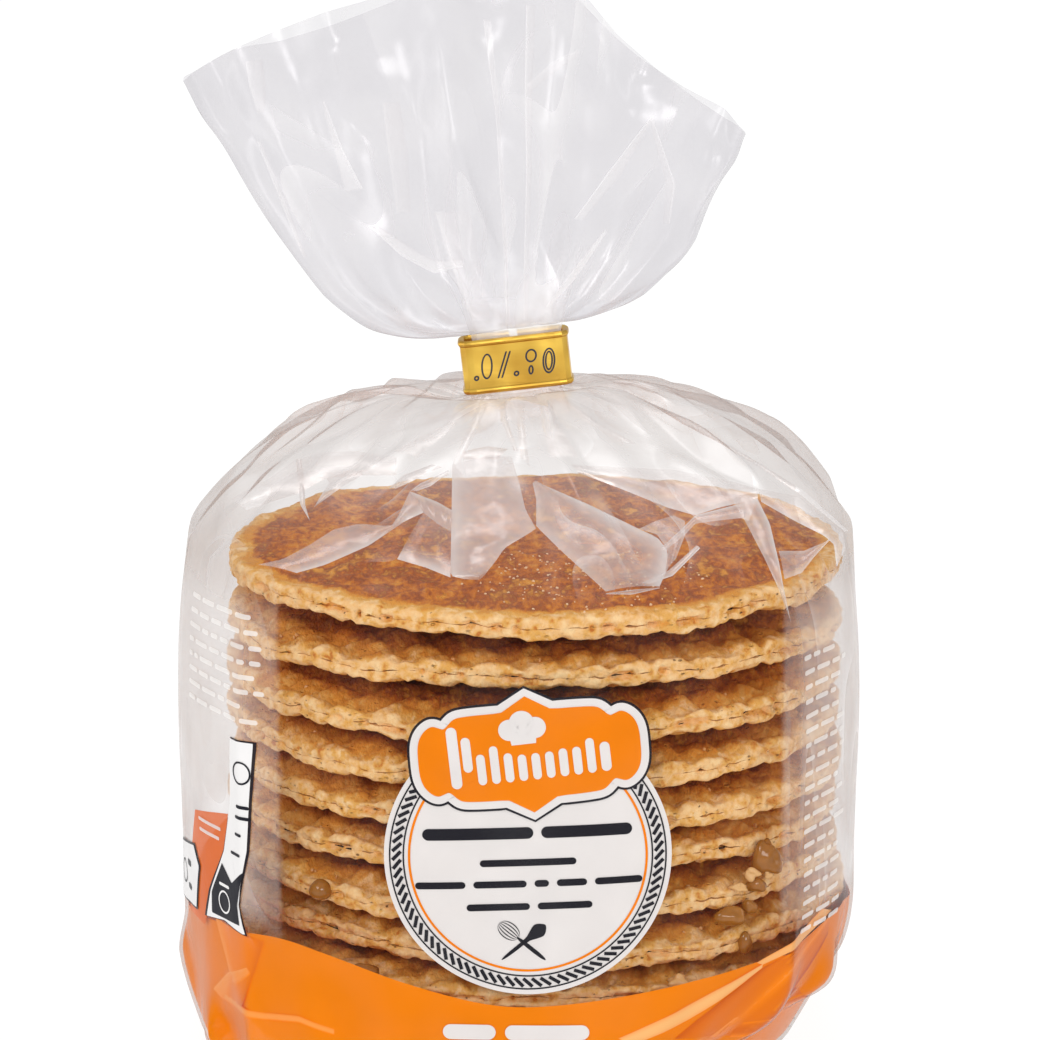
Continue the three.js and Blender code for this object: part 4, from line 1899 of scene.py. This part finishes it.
@dataclass
class Label(Print):
    """The round label printed on the film's front, with a rope border and a plaque over its top."""

    middle: tuple[float, float] = (1.3, 38.1)
    radius: float = 20.0
    rope_radius: float = 18.25
    rope_width: float = 1.5
    plaque_middle: tuple[float, float] = (1.5, 53.0)
    plaque_half: tuple[float, float] = (15.4, 6.2)
    plaque_tilt: float = math.radians(5.0)
    words_tilt: float = math.radians(1.8)
    word_gap: float = 1.1

    def plaque(self) -> np.ndarray:
        """Gives the plaque's outline: lobed ends, and a small point above and below."""
        angle = full_turn(240)
        x = self.plaque_half[0] * signed_power(np.cos(angle), 0.42)
        z = self.plaque_half[1] * signed_power(np.sin(angle), 0.62)
        z += np.sign(z) * 2.1 * np.exp(-((x / 1.9) ** 2))
        z -= np.sign(z) * 1.3 * np.exp(-(((np.abs(x) - 11.6) / 1.1) ** 2)) * np.abs(np.sin(angle))
        return spun(np.stack([x, z], axis=1), self.plaque_tilt) + np.array(self.plaque_middle)

    def words(self) -> Shape:
        """Gives four lines of plain bars where a label has its words."""
        x, z = self.middle
        # each line's height over the middle, its thickness and its bars' lengths
        lines = (
            (3.6, 1.7, (15.4, 12.6)),
            (-0.7, 1.0, (13.4,)),
            (-3.8, 1.0, (7.0, 7.4, 2.0, 4.2, 6.6)),
            (-7.1, 1.0, (8.8, 7.6)),
        )
        bars = []
        for height, thick, lengths in lines:
            start = x - (sum(lengths) + self.word_gap * (len(lengths) - 1)) / 2
            for length in lengths:
                bars.append(bar((start + length / 2, z + height), length, thick))
                start += length + self.word_gap
        points, faces = joined(bars)
        return spun(points - [x, z], self.words_tilt) + [x, z], faces

    def tools(self) -> Shape:
        """Gives a crossed whisk and spoon."""
        x, z = self.middle[0] - 0.6, self.middle[1] - 12.4
        angle = full_turn(40)
        shapes = []

        def leant(length: np.ndarray, side: np.ndarray, lean: float) -> np.ndarray:
            """Turns points given along and across a tool."""
            return spun(np.stack([length, side], axis=1), lean) + [x, z]

        handle = 4.0 * signed_power(np.cos(angle), 0.7)
        bowl = 1.05 * np.exp(-(((handle - 3.0) / 1.3) ** 2))
        shapes.append(filled(leant(handle, np.sin(angle) * (0.28 + bowl), math.radians(40)), 2))
        lean = math.radians(140)
        handle = 2.6 * signed_power(np.cos(angle), 0.7) - 1.4
        shapes.append(filled(leant(handle, 0.3 * np.sin(angle), lean), 2))
        along_wire = 2.7 + 1.75 * np.cos(angle)
        for width in (0.3, 0.75, 1.2):
            outer, inner = (
                leant(along_wire, w * np.sin(angle), lean) for w in (width, width - 0.16)
            )
            shapes.append(filled(outer, 1, inner))
        return joined(shapes)

    def plaque_marks(self) -> Shape:
        """Gives the plaque's white marks: a cook's hat over a row of upright bars."""
        puffs = ((1.5, (-1.8, 4.1)), (1.75, (0, 4.9)), (1.5, (1.8, 4.1)))
        hat = [filled(circle(radius, 28, at), 2) for radius, at in puffs]
        hat.append((np.array([[-1.7, 1.9], [1.7, 1.9], [2.0, 4.2], [-2.0, 4.2]]), [(0, 1, 2, 3)]))
        shapes = [(points + np.array([-0.6, -0.3]), faces) for points, faces in hat]
        # X, Z, length and width
        upright = (
            (-10.4, 0.6, 8.8, 1.5),
            (-8.6, 0.9, 5.0, 1.3),
            (-6.8, -1.4, 4.4, 1.2),
            (-4.9, -0.9, 5.4, 1.2),
            (-3.0, -1.5, 4.2, 1.2),
            *((x, -1.7, 3.8, 1.2) for x in (-1.1, 0.8, 2.7)),
            *((x, -1.6, 4.0, 1.2) for x in (4.6, 6.5)),
            (8.4, -1.1, 5.0, 1.2),
            (10.4, -1.5, 4.2, 1.4),
        )
        for x, z, length, width in upright:
            points, faces = bar((0.0, 0.0), length, width)
            shapes.append((np.stack([x - points[:, 1], z + points[:, 0]], axis=1), faces))
        points, faces = joined(shapes)
        return spun(points, self.plaque_tilt * 1.3) + np.array(self.plaque_middle), faces

    def rope(self) -> None:
        """Prints the slanted ticks of the rope border."""
        piece = new_piece("label_rope", np.zeros((1, 3)), [])
        ticks = {"count": 92, "length": 1.75, "width": 0.5, "slant": math.radians(48)}
        dark, slot = self.inks.dark
        grow(piece, tick_ring_tree(), material=dark, radius=self.rope_radius, **ticks)
        # the tree's own units are millimetres
        flat = np.array([v.co[:2] for v in piece.data.vertices]) + np.array(self.middle)
        move_points(piece, self.film.from_front(flat, self.depth(2)))
        hand_over(piece)

    def build(self) -> None:
        """Prints the label layer by layer."""
        inks, middle = self.inks, self.middle
        outer, inner = (self.rope_radius + way * self.rope_width / 2 for way in (1, -1))

        def ring(radius: float, width: float) -> Shape:
            """Gives a thin ring round the label's middle."""
            return filled(
                circle(radius + width / 2, at=middle), 1, circle(radius - width / 2, at=middle)
            )

        lines = [
            ("label_disc", filled(circle(self.radius, at=middle), 22), 0, inks.white),
            ("label_outer_line", ring(outer + 0.2, 0.22), 1, inks.dark),
            ("label_inner_line", ring(inner - 0.2, 0.22), 1, inks.dark),
            ("label_orange_line", ring(inner - 1.0, 0.34), 1, inks.orange),
        ]
        self.put(lines)
        self.rope()
        outline = self.plaque()
        marks = [
            ("label_words", self.words(), 1, inks.dark),
            ("label_tools", self.tools(), 1, inks.dark),
            ("plaque_outline", filled(widened(outline, 1.45), 12), 3, inks.dark),
            ("plaque_border", filled(widened(outline, 1.1), 12), 4, inks.white),
            ("plaque_field", filled(outline, 12), 5, inks.orange),
            ("plaque_marks", self.plaque_marks(), 6, inks.white),
        ]
        self.put(marks)


@dataclass
class FootBand(Print):
    """The solid field of orange printed round the foot of the bag."""

    # the angle in degrees and height of its top edge's crests and hollows, highest at the corners
    top: Pairs = (
        (0.0, 20.5),
        (45.0, 23.0),
        (90.0, 16.4),
        (135.0, 23.5),
        (180.0, 20.0),
        (227.0, 24.0),
        (270.0, 16.2),
        (319.0, 20.8),
        (334.0, 23.0),
        (360.0, 20.5),
    )
    lowest: float = 1.3
    columns: int = 540
    rows: int = 30

    def edge(self, angle: np.ndarray) -> np.ndarray:
        """Gives the height of the top edge, eased from crest to hollow."""
        stops, heights = np.array(self.top).T
        after = np.clip(np.searchsorted(stops, angle, side="right"), 1, len(stops) - 1)
        share = smoothstep(0, 1, (angle - stops[after - 1]) / (stops[after] - stops[after - 1]))
        return heights[after - 1] + share * (heights[after] - heights[after - 1])

    def build(self) -> None:
        """Prints the band and the two plain bars on its front."""
        angle = np.linspace(0, 360, self.columns, endpoint=False)
        shares = np.linspace(0, 1, self.rows)[:, None]
        heights = self.lowest + (self.edge(angle)[None] - self.lowest) * shares
        turned = np.stack([np.tile(angle, self.rows), heights.ravel()], axis=1)
        band = turned, ring_faces(self.rows, self.columns)
        self.put([("foot_band", band, 0, self.inks.orange)], turned=True)
        bars = joined([bar((-6.9, 12.5), 7.4, 2.2), bar((4.0, 12.5), 11.8, 2.2)])
        self.put([("foot_bars", bars, 3, self.inks.white)])


def traced(corners: Pairs, count: int = 96) -> np.ndarray:
    """Spreads points evenly round a closed outline."""
    ring = [*corners, corners[0]]
    return along(ring, np.arange(count) / count)


@dataclass
class SideMarks(Print):
    """The print beside the front's edges: a tab, a boxed mark, an orange flare and small print."""

    deepest: float = -0.05  # these lie on the outside
    # outlines on the left side, as angles in degrees and heights
    tab: Pairs = (
        (221.6, 52.4),
        (227.1, 52.4),
        (226.1, 43.7),
        (225.5, 36.3),
        (223.4, 27.8),
        (224.6, 23.6),
        (218.0, 24.4),
        (211.4, 23.6),
        (213.4, 28.0),
        (218.3, 34.9),
        (220.9, 42.8),
    )
    foot: Pairs = (
        (218.0, 33.0),
        (221.2, 30.8),
        (224.6, 33.2),
        (222.8, 28.0),
        (223.2, 25.0),
        (214.4, 24.8),
        (214.6, 28.0),
    )
    box: Pairs = ((196.0, 31.4), (207.6, 33.4), (210.2, 30.6), (207.8, 23.4), (195.0, 22.6))
    flare: Pairs = ((207.6, 38.4), (219.8, 40.6), (218.3, 34.9), (211.0, 22.0), (202.0, 22.0))
    per_mm: float = 1.1  # degrees of angle for each millimetre along the film
    line_pitch: float = 2.1  # of the small print
    thin: float = 0.7  # the height of its dashes, and the gap between them
    hair: float = 0.28  # the width of a ring's line

    def dash(self, angle: float, height: float, length: float, thick: float) -> Shape:
        """Gives one bar that starts at an angle and runs anticlockwise."""
        points, faces = bar((length / 2, height), length, thick)
        points[:, 0] = angle + points[:, 0] * self.per_mm
        return points, faces

    def rows(self, start: float, end: float, low: float, high: float, seed: int) -> Shape:
        """Gives rows of small dashes of uneven length.

        Args:
            start: The angle at which each row starts.
            end: The angle at which each row ends.
            low: The height of the lowest row.
            high: The height of the highest row.
            seed: For the lengths.

        Returns:
            Points and faces.
        """
        rng = np.random.default_rng(seed)
        dashes = []
        for height in np.arange(low, high, self.line_pitch):
            at = start
            while True:
                length = rng.uniform(1.4, 4.6)
                if at + length * self.per_mm > end:
                    break
                dashes.append(self.dash(at, height, length, self.thin))
                at += (length + self.thin) * self.per_mm
        return joined(dashes)

    def ring(self, angle: float, height: float, radius: float) -> Shape:
        """Gives a thin ring."""
        points, faces = filled(circle(radius, 40), 1, circle(radius - self.hair, 40))
        return points * np.array([self.per_mm, 1.0]) + np.array([angle, height]), faces

    def build(self) -> None:
        """Prints every mark."""
        inks = self.inks
        tab, box = traced(self.tab, 160), traced(self.box)
        flare_marks = [self.dash(209.4, 37.7, 7.2, 0.5), self.dash(209.8, 36.2, 6.4, 0.5)]
        dark_marks = [
            self.ring(224.2, 47.6, 1.7),
            self.dash(223.0, 42.6, 2.4, 0.5),
            self.dash(222.6, 41.0, 2.8, 0.5),
            self.dash(222.4, 38.4, 1.6, 0.45),
            self.dash(221.0, 35.4, 2.6, 0.45),
            self.ring(200.0, 27.4, 1.8),
            self.dash(203.0, 29.6, 2.2, 0.9),
            self.dash(203.0, 26.0, 2.0, 0.9),
        ]
        bin_marks = [self.ring(218.8, 27.4, 1.7), self.dash(217.2, 29.9, 3.0, 0.45)]
        marks = [
            ("side_flare", filled(traced(self.flare), 10), 0, inks.thin_orange),
            ("side_flare_marks", joined(flare_marks), 1, inks.faint),
            ("side_tab_line", filled(tab, 10), 2, inks.dark),
            ("side_tab", filled(shrunk(tab, np.array([0.9, 0.985])), 10), 3, inks.white),
            ("side_tab_foot", filled(traced(self.foot), 6), 4, inks.dark),
            ("side_box_line", filled(box, 8), 2, inks.dark),
            ("side_box", filled(shrunk(box, 0.93), 8), 3, inks.white),
            ("side_dark_marks", joined(dark_marks), 4, inks.dark),
            ("side_white_marks", joined(bin_marks), 5, inks.white),
            ("small_print_left", self.rows(206.0, 228.4, 55.2, 72.0, 61), 1, inks.faint),
            ("small_print_right", self.rows(318.2, 333.0, 23.6, 64.0, 62), 1, inks.faint),
        ]
        self.put(marks, turned=True)


@dataclass
class ClipMarks:
    """The clip's stamped row of marks, as plain rings, bars and dots."""

    middle: tuple[float, float] = (-0.1, 99.6)
    line: float = 0.26
    # each ring's X, Z, half width and half height; the leaning bars come after the first
    rings: Rows = (
        (-4.5, 0, 0.85, 1.9),
        (-0.2, -1.5, 0.42, 0.42),
        (-6.0, -1.6, 0.4, 0.4),
        (1.9, 0.9, 0.85, 1.0),
        (1.9, -1.2, 0.4, 0.7),
        (4.5, -0.1, 0.95, 1.9),
        (4.5, -0.1, 0.6, 1.45),
    )

    def ring(self, x: float, z: float, wide: float, high: float) -> Shape:
        """Gives a thin oval ring."""
        unit, half = circle(1.0, 36), np.array([wide, high])
        return filled(unit * half + [x, z], 1, unit * (half - self.line) + [x, z])

    def build(self, clip: Surface, ink: Material) -> None:
        """Stamps the marks.

        Args:
            clip: The clip.
            ink: What they wear.
        """
        leaning = []
        for side in (-0.28, 0.28):
            points, faces = bar((0, 0), 3.9, self.line)
            x = -2.0 + side + points[:, 0] * 0.3 - points[:, 1]
            leaning.append((np.stack([x, points[:, 0]], axis=1), faces))
        first, *rings = (self.ring(*sizes) for sizes in self.rings)
        points, faces = joined([first, *leaning, *rings])
        points[:, 1] += points[:, 0] * NECK_RISE
        laid = clip.from_front(points + np.array(self.middle), 0.05)
        hand_over(new_piece("clip_marks", laid, faces), ink)


# ---------------------------------------------------------------- crumbs


@dataclass
class Bead:
    """A drop of syrup that has run out of a waffle's edge, or a large crumb."""

    name: str
    at: tuple[float, float, float]
    radius: float
    seed: int
    stretch: tuple[float, float, float] = (1.0, 0.85, 0.95)
    lumpy: float = 0.12

    def build(self, finish: Material, slot: str) -> None:
        """Makes the bead, a little sagged and uneven.

        Args:
            finish: What it wears.
            slot: Not used.
        """
        columns, rows = 28, 16
        angle = full_turn(columns)
        levels = np.linspace(-np.pi / 2, np.pi / 2, rows)[1:-1]
        rings = [rim_points(angle, np.cos(v)) + [0, 0, np.sin(v)] for v in levels]
        points = np.vstack([*rings, [[0, 0, -1], [0, 0, 1]]])
        uneven = 1 + self.lumpy * Grain(self.seed).at(points * 3, 2.2)
        points *= uneven[:, None] * np.array(self.stretch)
        points[:, :2] *= 1 - 0.16 * points[:, 2:3]
        points = points * self.radius + np.array(self.at)
        hand_over(new_piece(self.name, points, closed_faces(len(levels), columns)), finish)


@dataclass
class Strewn:
    """Sugar grains on the top waffle, and crumbs on the waffles' edges."""

    stack: WaffleStack

    def sugar(self, finish: Material) -> None:
        """Strews sugar over the front of the top waffle."""
        top = Surface(self.stack.pieces[-3])
        flat, faces = filled(circle(18.5, 60, (9.0, -24.0)), 12)
        patch = new_piece("sugar_grains", top.from_above(flat, 0.0), faces)
        grow(
            patch,
            strewing_tree(),
            per_square_metre=170000.0,
            grain=0.6 * MM,
            seed=4,
            material=finish,
        )
        hand_over(patch)

    def crumbs(self, finish: Material) -> None:
        """Strews crumbs over the narrow ledge of each waffle."""
        shapes = []
        for upper in self.stack.pieces[:-3:3]:
            flat, faces = filled(circle(44.0, 120), 2, circle(41.0, 120))
            shapes.append((Surface(upper).from_above(flat + np.array(STACK_AT), 0.1), faces))
        points, faces = joined(shapes)
        patch = new_piece("loose_crumbs", points, faces)
        grow(
            patch,
            strewing_tree(),
            per_square_metre=22000.0,
            grain=0.95 * MM,
            seed=9,
            material=finish,
        )
        hand_over(patch)

    def build(self) -> None:
        """Strews everything."""
        self.sugar(SugarGrain().build())
        self.crumbs(SugarGrain(name="wafer crumbs", colour="#dba468").build())


SYRUP_BEADS = (
    Bead("syrup_bead_left", (-28.1, -34.6, 29.6), 1.6, 1, lumpy=0.05),
    Bead("syrup_bead_low", (-21.5, -39.9, 19.4), 1.3, 2, (1.4, 0.8, 0.8), 0.25),
    Bead("syrup_bead_right", (35.4, -31.8, 33.6), 1.8, 3, (1.0, 0.7, 1.4), 0.35),
    Bead("syrup_bead_right_run", (33.7, -33.4, 29.8), 1.1, 7, (1.3, 0.8, 1.0), 0.35),
    Bead("syrup_bead_mid", (29.9, -36.2, 26.2), 1.5, 4, (1.45, 0.7, 0.95), 0.3),
    Bead("syrup_bead_mid_end", (32.6, -34.4, 27.1), 1.0, 6, (1.1, 0.8, 1.0), 0.3),
    Bead("syrup_bead_right_low", (32.1, -34.9, 21.9), 1.15, 5, (0.9, 0.8, 1.4), 0.3),
)
LARGE_CRUMBS = (
    Bead("crumb_large_1", (33.0, -33.8, 31.6), 0.9, 11, (1.2, 0.8, 0.9), 0.6),
    Bead("crumb_large_2", (35.4, -32.4, 31.2), 0.7, 12, (1.0, 0.8, 1.0), 0.6),
    Bead("crumb_large_3", (31.2, -35.2, 30.2), 0.8, 13, (1.3, 0.8, 0.8), 0.6),
    Bead("crumb_large_4", (37.0, -30.8, 32.4), 0.6, 14, (1.0, 0.8, 1.1), 0.6),
    Bead("crumb_large_5", (22.6, -40.4, 17.8), 1.25, 15, (1.1, 0.8, 0.9), 0.6),
    Bead("crumb_large_6", (24.2, -39.8, 17.2), 0.8, 16, (1.2, 0.8, 0.9), 0.6),
)


# ---------------------------------------------------------------- stage


# name, place, size and watts
SOFTBOXES = (
    ("key", (-460, -850, 640), (260, 340), 2.8),
    ("front", (250, -1200, 430), (500, 260), 2.75),
    ("top", (60, 120, 1000), (420, 320), 1.7),
    ("fill", (850, -450, 420), (160, 500), 0.9),
    ("left_strip", (-800, 60, 260), (100, 500), 0.6),
)


@dataclass
class Stage:
    """A pale floor, soft studio light and the camera."""

    camera_pitch: float = 12.4
    camera_distance: float = 660.0
    field_of_view: float = 13.22
    aim: tuple[float, float, float] = (0.2, 0.0, 75.6)
    lit: tuple[float, float, float] = (0.0, 0.0, 80.0)  # what the lights look at
    floor_half: float = 6000.0
    floor_glow: float = 0.93
    world_glow: float = 0.58

    def floor(self) -> None:
        """Lays the floor, wide enough to fill the view behind the bag."""
        corners = np.array([[-1, -1, 0], [1, -1, 0], [1, 1, 0], [-1, 1, 0]]) * self.floor_half
        floor = new_piece("floor", corners, [(0, 1, 2, 3)])
        # opal acrylic, lit from below, which keeps it an even white
        material, tree, shader = new_material("opal acrylic light table")
        feed(tree, shader, {"Base Color": linear("#5c5c5c"), "Roughness": 0.9})
        feed(
            tree,
            shader,
            {"Emission Color": linear("#ffffff"), "Emission Strength": self.floor_glow},
        )
        floor.data.materials.append(material)

    def softbox(
        self, name: str, at: tuple[float, float, float], size: tuple[float, float], power: float
    ) -> None:
        """Hangs a rectangular softbox that looks at the bag.

        Args:
            name: The light's name.
            at: Where it hangs, in millimetres.
            size: Its width and height, in millimetres.
            power: Its power in watts.
        """
        light = bpy.data.lights.new(name, "AREA")
        light.shape = "RECTANGLE"
        light.size, light.size_y = size[0] * MM, size[1] * MM
        light.energy = power
        lamp = bpy.data.objects.new(name, light)
        lamp.location = Vector(at) * MM
        way = Vector(self.lit) * MM - lamp.location
        lamp.rotation_euler = way.to_track_quat("-Z", "Y").to_euler()
        bpy.context.scene.collection.objects.link(lamp)

    def world(self) -> None:
        """Surrounds everything with an even grey."""
        world = bpy.data.worlds.new("studio")
        world.use_nodes = True
        tree = world.node_tree
        feed(
            tree,
            tree.nodes["Background"],
            {"Color": linear("#ffffff"), "Strength": self.world_glow},
        )
        bpy.context.scene.world = world

    def camera(self) -> None:
        """Sets the camera a little above the bag, looking straight at its front."""
        pitch = math.radians(self.camera_pitch)
        lens = bpy.data.cameras.new("camera")
        lens.sensor_width = 36.0
        lens.lens = 18.0 / math.tan(math.radians(self.field_of_view / 2))
        lens.clip_start, lens.clip_end = 0.01, 50.0
        eye = bpy.data.objects.new("camera", lens)
        back = Vector((0, -math.cos(pitch), math.sin(pitch)))
        eye.location = (Vector(self.aim) + back * self.camera_distance) * MM
        eye.rotation_euler = (-back).to_track_quat("-Z", "Y").to_euler()
        bpy.context.scene.collection.objects.link(eye)
        bpy.context.scene.camera = eye

    def build(self) -> None:
        """Sets up everything round the object."""
        self.floor()
        self.world()
        for softbox in SOFTBOXES:
            self.softbox(*softbox)
        self.camera()
        bpy.context.scene.view_settings.view_transform = "Standard"


LOOSE_FILM = ClearFilm(
    name="loose polypropylene film",
    tint="#edecee",
    deep="#e2e1e3",
    share=0.1,
    milk=0.1,
    roughness=0.28,
    facet=14.0,
    slack=0.2,
    folds=0.24,
    fold_size=14.0,
)
GATHERED_FILM = ClearFilm(
    name="gathered polypropylene film",
    tint="#ffffff",
    deep="#fbfafa",
    share=0.0,
    milk=0.02,
    gathered=0.42,
    edge=0.1,
    colour="#ffffff",
    mirror=0.2,
    roughness=0.3,
    facet=3.0,
    tilt=0.2,
    slack=0.3,
    folds=0.0,
)
DOUBLED_FILM = ClearFilm(
    name="doubled polypropylene film",
    tint="#fdfcfc",
    deep="#fbf9f9",
    share=0.0,
    milk=0.1,
    gathered=0.9,
    edge=0.15,
    colour="#efebea",
    mirror=0.2,
    roughness=0.25,
    crinkle=0.4,
    facet=5.0,
    tilt=0.0,
    slack=0.4,
    folds=0.0,
)


def main() -> None:
    """Builds the pack piece by piece."""
    logging.basicConfig(level=logging.INFO, format="%(name)s %(message)s")
    Stage().build()
    stack = WaffleStack().build()
    Strewn(stack).build()
    drops = {"colour": "#d18a34", "roughness": 0.1, "clear": 0.3}
    amber = CaramelSyrup(name="amber syrup bead", **drops).build()
    for bead in SYRUP_BEADS:
        bead.build(amber, "syrup")
    crumb = SugarGrain(name="large wafer crumbs", colour="#e8bb7c").build()
    for large_crumb in LARGE_CRUMBS:
        large_crumb.build(crumb, "wafer")
    film = Surface(FilmBody().build(ClearFilm().build()))
    inks = Inks()
    Label(film, inks).build()
    FootBand(film, inks).build()
    SideMarks(film, inks).build()
    # the foot's creases get orange ink painted with shade and highlight
    creased = PaintedCreaseInk().build()
    for fold in FOOT_FOLDS:
        fold.build(creased, film, -0.42, "print_orange")
    ruff = Surface(Ruff().build(LOOSE_FILM.build()))
    Neck().build(GATHERED_FILM.build())
    doubled = DOUBLED_FILM.build()
    for fold in SHOULDER_FOLDS:
        fold.build(doubled)
    # the neck's pleats: white tightly folded film, with painted highlight streaks along them
    white = {"colour": "#ffffff"}
    tight = replace(DOUBLED_FILM, name="tightly folded polypropylene film", **white).build()
    for fold in NECK_FOLDS:
        fold.build(tight)
    # painted highlight streaks laid on the ruff's creases
    white |= {"gathered": 0.5, "mirror": 0.1, "milk": 0.0}
    soft = replace(DOUBLED_FILM, name="softly folded polypropylene film", **white).build()
    for fold in RUFF_FOLDS:
        fold.build(soft, ruff)
    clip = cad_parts["clip"]
    clip.data.materials.clear()
    clip.data.materials.append(GoldLacquer().build())
    ClipMarks().build(Surface(clip), FilmInk("dark stamping ink", "#3d4253", 0.85).build())


if __name__ == "__main__":
    main()
